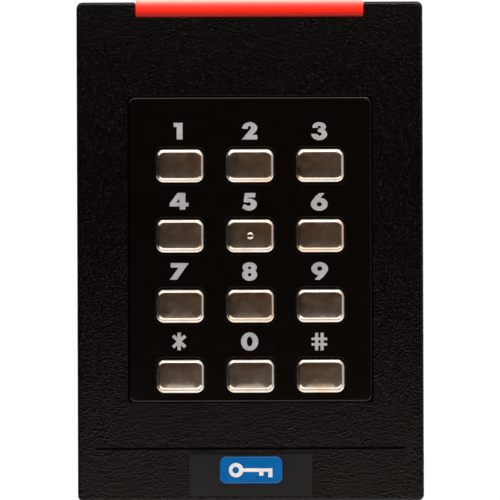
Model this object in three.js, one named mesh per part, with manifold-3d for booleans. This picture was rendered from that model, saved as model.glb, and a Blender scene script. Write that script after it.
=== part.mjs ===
// Keypad access reader that covers a single-gang wall box.
// Millimetres. +X is the user's right, +Z is up, and the keypad faces -Y.
// The origin is the centre of the mounting plate's rear face, on the wall plane.

import * as THREE from 'three';
import { mergeVertices } from 'three/addons/utils/BufferGeometryUtils.js';
import Module from 'manifold-3d';

const wasm = await Module();
wasm.setup();

// ---------------------------------------------------------------- driving dimensions

const BODY = { width: 84.2, height: 121.4, corner: 1.6, draft: 0.1, frontEdge: 0.8, wall: 2.5 };

// Planes along the depth, from the key tops (-Y) to the wall (Y = 0).
const DEPTH = {
  keyTop: -28,
  bezelFront: -26.45,
  coverFront: -26.4,
  pocketCeiling: -24.9,
  keyFlangeFront: -24.6,
  coverInner: -24.4,
  sealFront: -24.35,
  sealRear: -24.05,
  bezelFlangeFront: -24,
  keyRear: -23.6,
  domeTop: -23.3,
  bezelRear: -22.7,
  matFront: -22.4,
  matRear: -21.4,
  keypadBoardFront: -21.1,
  keypadBoardRear: -19.5,
  mainBoardFront: -16,
  mainBoardRear: -14.4,
  pottingFront: -14.1,
  pottingRear: -9,
  plateFront: -3,
  rimRear: -1.1,
  gasketFront: -1,
  wall: 0,
};

const KEYPAD = { width: 59.5, height: 74.5, z: 0.5, corner: 0.5, plugGap: 0.25, plugCorner: 1.7, flange: 2 };
const KEY = { width: 11.6, height: 8.1, corner: 1.8, shoulder: 1.3, lip: 0.95, lipPlay: 0.3, gap: 0.5 };
const KEY_PITCH = { x: 17, z: 17 };
const KEY_GRID_CENTRE_Z = -4.7;
const KEY_ROWS = [
  ['1', '2', '3'],
  ['4', '5', '6'],
  ['7', '8', '9'],
  ['star', '0', 'hash'],
];
const TACTILE_DOT = { radius: 0.85, height: 0.42 };

const DOME = { baseRadius: 4.5, topRadius: 3, wall: 0.7, ceiling: -22.6, openRadius: 3.8 };
const PILL = { radius: 1.75, front: -22.55, rear: -22.15 };
const STAKE = { radius: 1.25, headRadius: 2, play: 0.3, headFront: -19.2, headRear: -18.5 };
const STAKE_AFTER_ROWS = [0, 2];

const LIGHT_BAR = { width: 55.2, bottom: 57.05, proud: 0.6, depth: 7.7, edge: 0.9, play: 0.25 };
const LIGHT_BAR_LEG = { bottom: 55, front: -24.1, rear: -18.3 }; // takes in the LEDs' light behind the wall
const GROOVE = { width: 75, height: 0.72, depth: 0.5, z: -47.6 };
const NAMEPLATE = { width: 30.1, height: 10.4, z: -54.25, corner: 0.5, recess: 0.45, play: 0.1 };
const BADGE = { width: 15.2, height: 6.5, corner: 1.6, z: -52.95, thick: 0.4, edge: 0.3 };

const MAIN_BOARD = { width: 76, bottom: -57, top: 57.8, corner: 1.5 };
const KEYPAD_BOARD = { width: 62, height: 76.5, corner: 1 };
const BOARD_SCREW = { x: 32, z: 47.5, bossRadius: 2.9, pilotRadius: 1.05, pilotEnd: -22.6 };
const BOARD_SCREW_BODY = { shankRadius: 0.95, headRadius: 2.2, headHeight: 1.6, end: -22, holeRadius: 1.4 };
const LED = { width: 3.2, height: 2, thick: 1.5, z: 56.2, xs: [-21, -7, 7, 21] };
const ANTENNA = { width: 74.4, height: 108.6, band: 2, corner: 3, thick: 1.4 };
const TERMINALS = { ways: 10, pitch: 3.81, width: 39, bottom: -13.4, top: -5.2, rear: -4.6 };
const TAMPER = { x: 28, z: 20, size: 4, rear: -8.2 };

const PLATE = { width: 78.4, height: 115.8, corner: 1.5 };
const WIRE_OPENING = { width: 44, bottom: -34, top: -5, corner: 3 };
const UPPER_OPENING = { width: 44, bottom: 8, top: 32, corner: 3 };
const BOX_SCREW_SPACING = 83.3;
const SLOT = { width: 4.2, length: 9 };
const SIDE_SLOT_SPACING = 60;
const CORNER_HOLE = { x: 32, z: 50, radius: 2 };
const HOOK = { x: 18, width: 8, root: 54.5, top: 57.9, tip: 59.3, reach: -7.2, tipRear: -5.4 };
const LUG = { width: 10, front: -8.7, top: -50, bottom: -58 };
const SECURITY = { y: -5.85, shankRadius: 1.6, headRadius: 3.4, headTip: -60.6, neck: -58.8, end: -52.2 };
const INSERT = { outer: 2.2, inner: 1.7, top: -52, bottom: -57.9 };

const CORNER_SEGMENTS = 3;
const ROUND_SEGMENTS = 18;
const DOME_SEGMENTS = 14;
const SMALL_SEGMENTS = 12; // small holes and posts
const TOUCH = 0.05; // gap left between faces that touch on the real object
const POTTING_PLAY = 0.2; // gap between the potting and the cover's walls
const PAST = 1; // how far a cutter runs past the face it opens

// ---------------------------------------------------------------- solids

// Outline of a rectangle with rounded corners, anticlockwise, centred on (x, z).
function roundedRect(width, height, radius, x = 0, z = 0, segments = CORNER_SEGMENTS) {
  const corners = [[1, -1], [1, 1], [-1, 1], [-1, -1]];
  return corners.flatMap(([sideX, sideZ], quarter) => {
    const centreX = x + sideX * (width / 2 - radius);
    const centreZ = z + sideZ * (height / 2 - radius);
    return Array.from({ length: segments + 1 }, (_, i) => {
      const angle = (quarter - 1 + i / segments) * Math.PI / 2;
      return new THREE.Vector2(centreX + radius * Math.cos(angle), centreZ + radius * Math.sin(angle));
    });
  });
}

// The same outline from its left, right, bottom and top edges.
function roundedSpan(width, bottom, top, radius, segments = CORNER_SEGMENTS) {
  return roundedRect(width, top - bottom, radius, 0, (top + bottom) / 2, segments);
}

// The corner radius that gives a slot of this width fully rounded ends.
function roundEnd(width) {
  return width / 2 - 0.01;
}

// An outline in X and Z, extruded between two planes of Y.
function slab(outline, yFront, yRear, holes = []) {
  const shape = new THREE.Shape(outline);
  shape.holes = holes.map((hole) => new THREE.Path(hole));
  const geometry = new THREE.ExtrudeGeometry(shape, { depth: yRear - yFront, bevelEnabled: false });
  return geometry.rotateX(Math.PI / 2).translate(0, yRear, 0);
}

// An outline in Y and Z, extruded along X and centred on it.
function barAlongX(outline, length) {
  const shape = new THREE.Shape(outline);
  const geometry = new THREE.ExtrudeGeometry(shape, { depth: length, bevelEnabled: false });
  const axes = new THREE.Matrix4().makeBasis(
    new THREE.Vector3(0, 1, 0),
    new THREE.Vector3(0, 0, 1),
    new THREE.Vector3(1, 0, 0),
  );
  return geometry.applyMatrix4(axes).translate(-length / 2, 0, 0);
}

function block(x, y, z) {
  const [width, depth, height] = [x, y, z].map(([low, high]) => high - low);
  const [cx, cy, cz] = [x, y, z].map(([low, high]) => (low + high) / 2);
  return new THREE.BoxGeometry(width, depth, height).translate(cx, cy, cz);
}

function rodAlongY(radius, yFront, yRear, x = 0, z = 0, segments = ROUND_SEGMENTS) {
  const rod = new THREE.CylinderGeometry(radius, radius, yRear - yFront, segments);
  return rod.translate(x, (yFront + yRear) / 2, z);
}

// A profile of [radius, height] pairs from the lowest height up, turned about +Y.
function turned(profile, segments = ROUND_SEGMENTS) {
  return new THREE.LatheGeometry(profile.map(([radius, y]) => new THREE.Vector2(radius, y)), segments);
}

// A profile of [radius, drop] pairs, the drop measured down from the origin, turned about
// the upright axis that runs at depth y.
function turnedDownwards(profile, y, segments = ROUND_SEGMENTS) {
  return turned(profile, segments).rotateX(-Math.PI / 2).translate(0, y, 0);
}

// A closed solid through outlines of equal point counts, ordered from the front to the rear.
function loft(rings) {
  const count = rings[0].outline.length;
  const position = rings.flatMap(({ outline, y }) => outline.flatMap((p) => [p.x, y, p.y]));
  const last = (rings.length - 1) * count;
  const index = [];
  for (let i = 1; i < count - 1; i++) {
    index.push(0, i, i + 1);
    index.push(last, last + i + 1, last + i);
  }
  for (let start = 0; start < last; start += count) {
    for (let i = 0; i < count; i++) {
      const a = start + i;
      const b = start + (i + 1) % count;
      index.push(a, a + count, b + count, a, b + count, b);
    }
  }
  const geometry = new THREE.BufferGeometry();
  geometry.setAttribute('position', new THREE.Float32BufferAttribute(position, 3));
  return geometry.setIndex(index);
}

// Rings of a rectangle whose front edge is rounded by a quarter circle.
function roundedFront({ width, height, corner, z = 0, front, edge, steps = 3 }) {
  return Array.from({ length: steps + 1 }, (_, i) => {
    const angle = (1 - i / steps) * Math.PI / 2;
    const inset = edge * (1 - Math.cos(angle));
    const radius = Math.max(corner - inset, 0.1);
    return {
      outline: roundedRect(width - 2 * inset, height - 2 * inset, radius, 0, z),
      y: front + edge * (1 - Math.sin(angle)),
    };
  });
}

function toSolid(geometry) {
  const bare = new THREE.BufferGeometry().setAttribute('position', geometry.getAttribute('position'));
  if (geometry.index) bare.setIndex(geometry.index);
  const merged = mergeVertices(bare, 1e-4);
  return new wasm.Manifold(new wasm.Mesh({
    numProp: 3,
    vertProperties: new Float32Array(merged.attributes.position.array),
    triVerts: new Uint32Array(merged.index.array),
  }));
}

function toGeometry(solid) {
  const { numProp, vertProperties, triVerts } = solid.getMesh();
  const position = new Float32Array(vertProperties.length / numProp * 3);
  for (let i = 0; i < position.length / 3; i++) {
    position.set(vertProperties.subarray(i * numProp, i * numProp + 3), i * 3);
  }
  const geometry = new THREE.BufferGeometry();
  geometry.setAttribute('position', new THREE.BufferAttribute(position, 3));
  geometry.setIndex(new THREE.BufferAttribute(triVerts, 1));
  geometry.computeVertexNormals();
  return geometry;
}

function join(base, ...additions) {
  return toGeometry(additions.reduce((solid, addition) => solid.add(toSolid(addition)), toSolid(base)));
}

function cut(base, ...cutters) {
  return toGeometry(cutters.reduce((solid, cutter) => solid.subtract(toSolid(cutter)), toSolid(base)));
}

// ---------------------------------------------------------------- materials

function paint(colour, roughness, metalness = 0) {
  return new THREE.MeshStandardMaterial({ color: colour, roughness, metalness, flatShading: true });
}

const MATERIALS = {
  housing: paint(0x151412, 0.55),
  bezel: paint(0x0d0c0a, 0.4),
  lens: paint(0xe0281c, 0.2),
  keyMetal: paint(0xb9b0a6, 0.22, 1),
  silicone: paint(0x8d9092, 0.7),
  carbon: paint(0x18181a, 0.8),
  boardGreen: paint(0x1c5a33, 0.45),
  copper: paint(0xb8703c, 0.35, 1),
  chip: paint(0x1b1b1d, 0.5),
  tin: paint(0xc9cbcd, 0.3, 1),
  ledBody: paint(0xf1efe4, 0.35),
  connector: paint(0x20201f, 0.5),
  terminal: paint(0x2f7d4a, 0.45),
  potting: paint(0x121214, 0.25),
  foam: paint(0x2a2a2b, 0.95),
  plate: paint(0x1a1a1a, 0.6),
  steel: paint(0xa9abae, 0.3, 1),
  brass: paint(0xc69c4a, 0.3, 1),
  nameplate: paint(0x232124, 0.35),
  badge: paint(0x0a55a5, 0.25),
};

// ---------------------------------------------------------------- assembly tree

const reader = new THREE.Group();
const housing = new THREE.Group();
const keypad = new THREE.Group();
const electronics = new THREE.Group();
const mounting = new THREE.Group();
reader.add(housing, keypad, electronics, mounting);

function place(group, name, geometry, material, x = 0, z = 0) {
  const mesh = new THREE.Mesh(geometry, material);
  mesh.name = name;
  mesh.position.set(x, 0, z);
  group.add(mesh);
}

// Every key as { name, x, z }, row by row from the top left.
const KEYS = KEY_ROWS.flatMap((row, r) => row.map((name, c) => ({
  name,
  x: (c - 1) * KEY_PITCH.x,
  z: KEY_GRID_CENTRE_Z + (1.5 - r) * KEY_PITCH.z,
})));

// Heat stakes stand between the columns, under the rows that STAKE_AFTER_ROWS lists.
const STAKES = STAKE_AFTER_ROWS.flatMap((r) => [-0.5, 0.5].map((c) => ({
  x: c * KEY_PITCH.x,
  z: KEY_GRID_CENTRE_Z + (1 - r) * KEY_PITCH.z,
})));

const BOARD_SCREWS = [
  { name: 'top_left', x: -BOARD_SCREW.x, z: BOARD_SCREW.z },
  { name: 'top_right', x: BOARD_SCREW.x, z: BOARD_SCREW.z },
  { name: 'bottom_left', x: -BOARD_SCREW.x, z: -BOARD_SCREW.z },
  { name: 'bottom_right', x: BOARD_SCREW.x, z: -BOARD_SCREW.z },
];

// ---------------------------------------------------------------- housing

// One-piece moulded cover: drafted walls, open at the rear, with the keypad opening,
// the light bar's notch, the groove and the nameplate's recess in its front.
function frontCover() {
  const front = roundedFront({
    width: BODY.width - 2 * BODY.draft,
    height: BODY.height - 2 * BODY.draft,
    corner: BODY.corner - BODY.draft,
    front: DEPTH.coverFront,
    edge: BODY.frontEdge,
  });
  const rim = { outline: roundedRect(BODY.width, BODY.height, BODY.corner), y: DEPTH.rimRear };
  const cavity = slab(
    roundedRect(BODY.width - 2 * BODY.wall, BODY.height - 2 * BODY.wall, 1.2),
    DEPTH.coverInner,
    DEPTH.rimRear + PAST,
  );
  const shell = cut(loft([...front, rim]), cavity);

  const bosses = BOARD_SCREWS.map(({ x, z }) => rodAlongY(
    BOARD_SCREW.bossRadius, DEPTH.coverInner - PAST, DEPTH.mainBoardFront - TOUCH, x, z));
  const pilots = BOARD_SCREWS.map(({ x, z }) => rodAlongY(
    BOARD_SCREW.pilotRadius, BOARD_SCREW.pilotEnd, DEPTH.mainBoardFront + PAST, x, z, SMALL_SEGMENTS));

  const keypadOpening = slab(
    roundedRect(KEYPAD.width, KEYPAD.height, KEYPAD.corner, 0, KEYPAD.z),
    DEPTH.coverFront - PAST,
    DEPTH.coverInner + PAST,
  );
  const halfNotch = LIGHT_BAR.width / 2 + LIGHT_BAR.play;
  const barNotch = block(
    [-halfNotch, halfNotch],
    [DEPTH.coverFront - PAST, DEPTH.coverFront + LIGHT_BAR.depth + LIGHT_BAR.play],
    [LIGHT_BAR.bottom - LIGHT_BAR.play, BODY.height / 2 + PAST],
  );
  const groove = block(
    [-GROOVE.width / 2, GROOVE.width / 2],
    [DEPTH.coverFront - PAST, DEPTH.coverFront + GROOVE.depth],
    [GROOVE.z - GROOVE.height / 2, GROOVE.z + GROOVE.height / 2],
  );
  const nameplateRecess = slab(
    roundedRect(NAMEPLATE.width, NAMEPLATE.height, NAMEPLATE.corner, 0, NAMEPLATE.z),
    DEPTH.coverFront - PAST,
    DEPTH.coverFront + NAMEPLATE.recess,
  );
  const innerTop = BODY.height / 2 - BODY.wall;
  const hookPockets = [-1, 1].map((side) => block(
    [side * HOOK.x - HOOK.width / 2 - 0.5, side * HOOK.x + HOOK.width / 2 + 0.5],
    [HOOK.reach - 0.5, HOOK.tipRear + 0.5],
    [innerTop - PAST, HOOK.tip + 0.4],
  ));
  const screwHole = turnedDownwards([
    [0, BODY.height / 2 - BODY.wall - 0.5],
    [SECURITY.shankRadius + 0.3, BODY.height / 2 - BODY.wall - 0.5],
    [SECURITY.shankRadius + 0.3, -SECURITY.neck],
    [SECURITY.headRadius + 0.25, -SECURITY.headTip],
    [SECURITY.headRadius + 0.25, BODY.height / 2 + PAST],
    [0, BODY.height / 2 + PAST],
  ], SECURITY.y);

  return cut(
    join(shell, ...bosses),
    ...pilots, keypadOpening, barNotch, groove, nameplateRecess, ...hookPockets, screwHole,
  );
}

// Translucent bar that wraps the cover's top edge, with a leg that takes in the LEDs' light.
function lightBar() {
  const top = BODY.height / 2 + LIGHT_BAR.proud;
  const front = DEPTH.coverFront - 0.2;
  const rear = DEPTH.coverFront + LIGHT_BAR.depth;
  const underWall = BODY.height / 2 - BODY.wall - 0.3;
  const { edge } = LIGHT_BAR;
  const roundedEdge = [0, 1, 2, 3].map((i) => {
    const angle = Math.PI - i / 3 * Math.PI / 2;
    return [front + edge + edge * Math.cos(angle), top - edge + edge * Math.sin(angle)];
  });
  const outline = [
    [LIGHT_BAR_LEG.front, LIGHT_BAR_LEG.bottom],
    [LIGHT_BAR_LEG.front, LIGHT_BAR.bottom],
    [front, LIGHT_BAR.bottom],
    ...roundedEdge,
    [rear, top],
    [rear, underWall],
    [LIGHT_BAR_LEG.rear, underWall],
    [LIGHT_BAR_LEG.rear, LIGHT_BAR_LEG.bottom],
  ].map(([y, z]) => new THREE.Vector2(y, z));
  return barAlongX(outline.reverse(), LIGHT_BAR.width);
}

function nameplate() {
  const outline = roundedRect(
    NAMEPLATE.width - 2 * NAMEPLATE.play, NAMEPLATE.height - 2 * NAMEPLATE.play,
    NAMEPLATE.corner, 0, NAMEPLATE.z);
  return slab(outline, DEPTH.coverFront, DEPTH.coverFront + NAMEPLATE.recess - TOUCH);
}

// Domed sticker on the nameplate.
function badge() {
  const { width, height, corner, z, thick, edge } = BADGE;
  const rear = { outline: roundedRect(width, height, corner, 0, z), y: DEPTH.coverFront - TOUCH };
  const front = rear.y - thick;
  return loft([...roundedFront({ width, height, corner, z, front, edge, steps: 2 }), rear]);
}

place(housing, 'front_cover', frontCover(), MATERIALS.housing);
place(housing, 'light_bar', lightBar(), MATERIALS.lens);
place(housing, 'nameplate', nameplate(), MATERIALS.nameplate);
place(housing, 'badge', badge(), MATERIALS.badge);

// ---------------------------------------------------------------- keypad

// Frame that the keys stand in. Its plug fills the cover's opening from behind, its flange
// seals against the cover, and four heat stakes hold the mat and the keypad board.
function keypadBezel() {
  const plugWidth = KEYPAD.width - 2 * KEYPAD.plugGap;
  const plugHeight = KEYPAD.height - 2 * KEYPAD.plugGap;
  const plugOutline = roundedRect(plugWidth, plugHeight, KEYPAD.plugCorner, 0, KEYPAD.z);
  const plug = loft([
    ...roundedFront({
      width: plugWidth,
      height: plugHeight,
      corner: KEYPAD.plugCorner,
      z: KEYPAD.z,
      front: DEPTH.bezelFront,
      edge: 0.35,
      steps: 2,
    }),
    { outline: plugOutline, y: DEPTH.bezelRear },
  ]);
  const flange = slab(
    roundedRect(KEYPAD.width + 2 * KEYPAD.flange, KEYPAD.height + 2 * KEYPAD.flange, 2, 0, KEYPAD.z),
    DEPTH.bezelFlangeFront,
    DEPTH.bezelRear,
  );
  const openings = KEYS.map(({ x, z }) => slab(
    roundedRect(KEY.width + 2 * KEY.gap, KEY.height + 2 * KEY.gap, KEY.corner + KEY.gap, x, z),
    DEPTH.bezelFront - PAST,
    DEPTH.bezelRear + PAST,
  ));
  const pocketGrowth = 2 * (KEY.lip + KEY.lipPlay);
  const pockets = KEYS.map(({ x, z }) => slab(
    roundedRect(KEY.width + pocketGrowth, KEY.height + pocketGrowth, KEY.corner, x, z, 2),
    DEPTH.pocketCeiling,
    DEPTH.bezelRear + PAST,
  ));
  const stakes = STAKES.map(({ x, z }) => turned([
    [0, DEPTH.bezelRear - PAST],
    [STAKE.radius, DEPTH.bezelRear - PAST],
    [STAKE.radius, STAKE.headFront],
    [STAKE.headRadius, STAKE.headFront],
    [STAKE.headRadius, STAKE.headFront + 0.2],
    [0, STAKE.headRear],
  ], SMALL_SEGMENTS).translate(x, 0, z));
  return join(cut(join(plug, flange), ...openings, ...pockets), ...stakes);
}

// Die-cast key: pillowed shoulders above the bezel, and a lip below that keeps it in.
function keyCap() {
  const { width, height, corner, shoulder, lip } = KEY;
  const ring = (inset, y) => ({
    outline: roundedRect(width - 2 * inset, height - 2 * inset, Math.max(corner - inset * 0.6, 0.5)),
    y,
  });
  const lipOutline = roundedRect(width + 2 * lip, height + 2 * lip, corner);
  const steps = [90, 60, 30, 0].map((degrees) => THREE.MathUtils.degToRad(degrees));
  return loft([
    ...steps.map((angle) => ring(
      shoulder * (1 - Math.cos(angle)), DEPTH.keyTop + shoulder * (1 - Math.sin(angle)))),
    { outline: roundedRect(width, height, corner), y: DEPTH.keyFlangeFront },
    { outline: lipOutline, y: DEPTH.keyFlangeFront + 1e-3 },
    { outline: lipOutline, y: DEPTH.keyRear },
  ]);
}

// Raised locating dot for the middle key.
function tactileDot() {
  const { radius, height } = TACTILE_DOT;
  const profile = [0, 30, 60, 90].map((degrees) => {
    const angle = THREE.MathUtils.degToRad(degrees);
    return [radius * Math.sin(angle), DEPTH.keyTop - height * Math.cos(angle)];
  });
  return turned([...profile, [radius, DEPTH.keyTop + 0.3], [0, DEPTH.keyTop + 0.3]], 16);
}

// Silicone sheet with one hollow collapsing dome under each key.
function keypadMat() {
  const sheet = slab(
    roundedRect(KEYPAD_BOARD.width, KEYPAD_BOARD.height, KEYPAD_BOARD.corner, 0, KEYPAD.z, 2),
    DEPTH.matFront,
    DEPTH.matRear,
  );
  const domes = KEYS.map(({ x, z }) => turned([
    [0, DEPTH.domeTop],
    [DOME.topRadius, DEPTH.domeTop],
    [DOME.baseRadius, DEPTH.matFront],
    [DOME.baseRadius, DEPTH.matRear],
    [0, DEPTH.matRear],
  ], DOME_SEGMENTS).translate(x, 0, z));
  const hollows = KEYS.map(({ x, z }) => turned([
    [0, DOME.ceiling],
    [DOME.topRadius - DOME.wall, DOME.ceiling],
    [DOME.openRadius, DEPTH.matRear],
    [DOME.openRadius, DEPTH.matRear + PAST],
    [0, DEPTH.matRear + PAST],
  ], DOME_SEGMENTS).translate(x, 0, z));
  const holes = STAKES.map(({ x, z }) => rodAlongY(
    STAKE.radius + STAKE.play, DEPTH.matFront - PAST, DEPTH.matRear + PAST, x, z, SMALL_SEGMENTS));
  return cut(join(sheet, ...domes), ...hollows, ...holes);
}

function keypadBoard() {
  const outline = roundedRect(
    KEYPAD_BOARD.width, KEYPAD_BOARD.height, KEYPAD_BOARD.corner, 0, KEYPAD.z, 2);
  const holes = STAKES.map(({ x, z }) => rodAlongY(
    STAKE.radius + STAKE.play, DEPTH.keypadBoardFront - PAST, DEPTH.keypadBoardRear + PAST, x, z,
    SMALL_SEGMENTS));
  return cut(slab(outline, DEPTH.keypadBoardFront, DEPTH.keypadBoardRear), ...holes);
}

function keypadSeal() {
  const outer = roundedRect(
    KEYPAD.width + 2 * KEYPAD.flange, KEYPAD.height + 2 * KEYPAD.flange, 2, 0, KEYPAD.z);
  const inner = roundedRect(KEYPAD.width + 0.4, KEYPAD.height + 0.4, 1, 0, KEYPAD.z);
  return slab(outer, DEPTH.sealFront, DEPTH.sealRear, [inner]);
}

place(keypad, 'keypad_bezel', keypadBezel(), MATERIALS.bezel);
place(keypad, 'keypad_seal', keypadSeal(), MATERIALS.foam);
place(keypad, 'keypad_mat', keypadMat(), MATERIALS.silicone);
place(keypad, 'keypad_board', keypadBoard(), MATERIALS.boardGreen);
for (const { name, x, z } of KEYS) {
  const cap = name === '5' ? join(keyCap(), tactileDot()) : keyCap();
  const pill = rodAlongY(PILL.radius, PILL.front, PILL.rear);
  place(keypad, `key_${name}`, cap, MATERIALS.keyMetal, x, z);
  place(keypad, `contact_pill_${name}`, pill, MATERIALS.carbon, x, z);
}

// ---------------------------------------------------------------- electronics

function mainBoard() {
  const outline = roundedSpan(MAIN_BOARD.width, MAIN_BOARD.bottom, MAIN_BOARD.top, MAIN_BOARD.corner, 2);
  const holes = BOARD_SCREWS.map(({ x, z }) => rodAlongY(
    BOARD_SCREW_BODY.holeRadius, DEPTH.mainBoardFront - PAST, DEPTH.mainBoardRear + PAST, x, z, 16));
  return cut(slab(outline, DEPTH.mainBoardFront, DEPTH.mainBoardRear), ...holes);
}

// Box-shaped component on the main board's front, from its size and centre.
function component(width, height, thick, x, z) {
  const rear = DEPTH.mainBoardFront - TOUCH;
  return block([x - width / 2, x + width / 2], [rear - thick, rear], [z - height / 2, z + height / 2]);
}

function antennaCoil() {
  const rear = DEPTH.mainBoardFront - TOUCH;
  const { width, height, band, corner, thick } = ANTENNA;
  return slab(
    roundedRect(width, height, corner),
    rear - thick,
    rear,
    [roundedRect(width - 2 * band, height - 2 * band, corner - band / 2)],
  );
}

function electrolyticCapacitor(radius, tall, x, z) {
  const rear = DEPTH.mainBoardFront - TOUCH;
  return turned([
    [0, rear - tall],
    [radius - 0.4, rear - tall],
    [radius, rear - tall + 0.4],
    [radius, rear],
    [0, rear],
  ]).translate(x, 0, z);
}

// Sounder with its sound hole towards the front.
function buzzer(radius, tall, x, z) {
  const rear = DEPTH.mainBoardFront - TOUCH;
  return turned([
    [0, rear - tall + 1],
    [1.2, rear - tall + 1],
    [1.2, rear - tall],
    [radius - 0.5, rear - tall],
    [radius, rear - tall + 0.5],
    [radius, rear],
    [0, rear],
  ]).translate(x, 0, z);
}

// Screw terminals on the board's rear: screws face the wall, wires enter from below.
function terminalBlock() {
  const { ways, pitch, width, bottom, top, rear } = TERMINALS;
  const body = block([-width / 2, width / 2], [DEPTH.mainBoardRear + TOUCH, rear], [bottom, top]);
  const xs = Array.from({ length: ways }, (_, i) => (i - (ways - 1) / 2) * pitch);
  const ports = xs.map((x) => block([x - 1.3, x + 1.3], [-8.6, -5.7], [bottom - PAST, bottom + 5]));
  const screwWells = xs.map((x) => rodAlongY(
    1.35, rear - 1.2, rear + PAST, x, (bottom + top) / 2 - 0.4, SMALL_SEGMENTS));
  return cut(body, ...ports, ...screwWells);
}

function boardScrew() {
  const { shankRadius, headRadius, headHeight, end } = BOARD_SCREW_BODY;
  const seat = DEPTH.mainBoardRear + TOUCH;
  const body = turned([
    [0, end],
    [shankRadius * 0.5, end],
    [shankRadius, end + 0.8],
    [shankRadius, seat],
    [headRadius, seat],
    [headRadius, seat + headHeight * 0.6],
    [headRadius * 0.7, seat + headHeight],
    [0, seat + headHeight],
  ], 16);
  return cut(body, rodAlongY(1, seat + headHeight - 0.9, seat + headHeight + PAST, 0, 0, 6));
}

// Epoxy that seals the back of the main board, moulded round what stands out of it.
function pottingCompound() {
  const inset = 2 * (BODY.wall + POTTING_PLAY);
  const outline = roundedRect(BODY.width - inset, BODY.height - inset, 1, 0, 0, 2);
  const screwPockets = BOARD_SCREWS.map(({ x, z }) => rodAlongY(
    BOARD_SCREW_BODY.headRadius + 0.3, DEPTH.pottingFront - PAST, DEPTH.mainBoardRear + 2.2, x, z, 16));
  const terminalWindow = block(
    [-TERMINALS.width / 2 - 0.3, TERMINALS.width / 2 + 0.3],
    [DEPTH.pottingFront - PAST, DEPTH.pottingRear + PAST],
    [TERMINALS.bottom - 0.3, TERMINALS.top + 0.3],
  );
  const half = TAMPER.size / 2 + 0.3;
  const tamperWindow = block(
    [TAMPER.x - half, TAMPER.x + half],
    [DEPTH.pottingFront - PAST, DEPTH.pottingRear + PAST],
    [TAMPER.z - half, TAMPER.z + half],
  );
  const poured = slab(outline, DEPTH.pottingFront, DEPTH.pottingRear);
  return cut(poured, ...screwPockets, terminalWindow, tamperWindow);
}

function tamperSensor() {
  const half = TAMPER.size / 2;
  const body = block(
    [TAMPER.x - half, TAMPER.x + half],
    [DEPTH.mainBoardRear + TOUCH, TAMPER.rear],
    [TAMPER.z - half, TAMPER.z + half],
  );
  const windows = [-0.9, 0.9].map((dx) => rodAlongY(
    0.6, TAMPER.rear - 0.5, TAMPER.rear + PAST, TAMPER.x + dx, TAMPER.z, SMALL_SEGMENTS));
  return cut(body, ...windows);
}

place(electronics, 'main_board', mainBoard(), MATERIALS.boardGreen);
place(electronics, 'antenna_coil', antennaCoil(), MATERIALS.copper);
place(electronics, 'board_connector_socket', component(22, 5, 1.6, 0, 30), MATERIALS.connector);
place(electronics, 'board_connector_plug', block(
  [-10.2, 10.2],
  [DEPTH.keypadBoardRear + TOUCH, DEPTH.mainBoardFront - 1.75],
  [28, 32],
), MATERIALS.connector);
place(electronics, 'microcontroller', component(10, 10, 1.4, -13, 2), MATERIALS.chip);
place(electronics, 'rf_reader_chip', component(7, 7, 1, 13, 4), MATERIALS.chip);
place(electronics, 'secure_element', component(6, 5, 0.9, 13, -8), MATERIALS.chip);
place(electronics, 'crystal', component(5, 3.2, 1.3, 25, 4), MATERIALS.tin);
place(electronics, 'voltage_regulator', component(6.6, 9, 2.3, 0, -47), MATERIALS.chip);
place(electronics, 'power_inductor', component(7.3, 7.3, 4, -10.5, -47), MATERIALS.chip);
place(electronics, 'input_capacitor', electrolyticCapacitor(3.15, 7.7, -20, -47), MATERIALS.tin);
place(electronics, 'output_capacitor', electrolyticCapacitor(2.5, 5.4, 9, -47), MATERIALS.tin);
place(electronics, 'buzzer', buzzer(4.8, 5, 20, -46.8), MATERIALS.chip);
LED.xs.forEach((x, i) => {
  const led = component(LED.width, LED.height, LED.thick, x, LED.z);
  place(electronics, `status_led_${i + 1}`, led, MATERIALS.ledBody);
});
place(electronics, 'tamper_sensor', tamperSensor(), MATERIALS.chip);
place(electronics, 'terminal_block', terminalBlock(), MATERIALS.terminal);
place(electronics, 'potting_compound', pottingCompound(), MATERIALS.potting);
for (const { name, x, z } of BOARD_SCREWS) {
  place(electronics, `board_screw_${name}`, boardScrew(), MATERIALS.steel, x, z);
}

// ---------------------------------------------------------------- mounting

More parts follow.
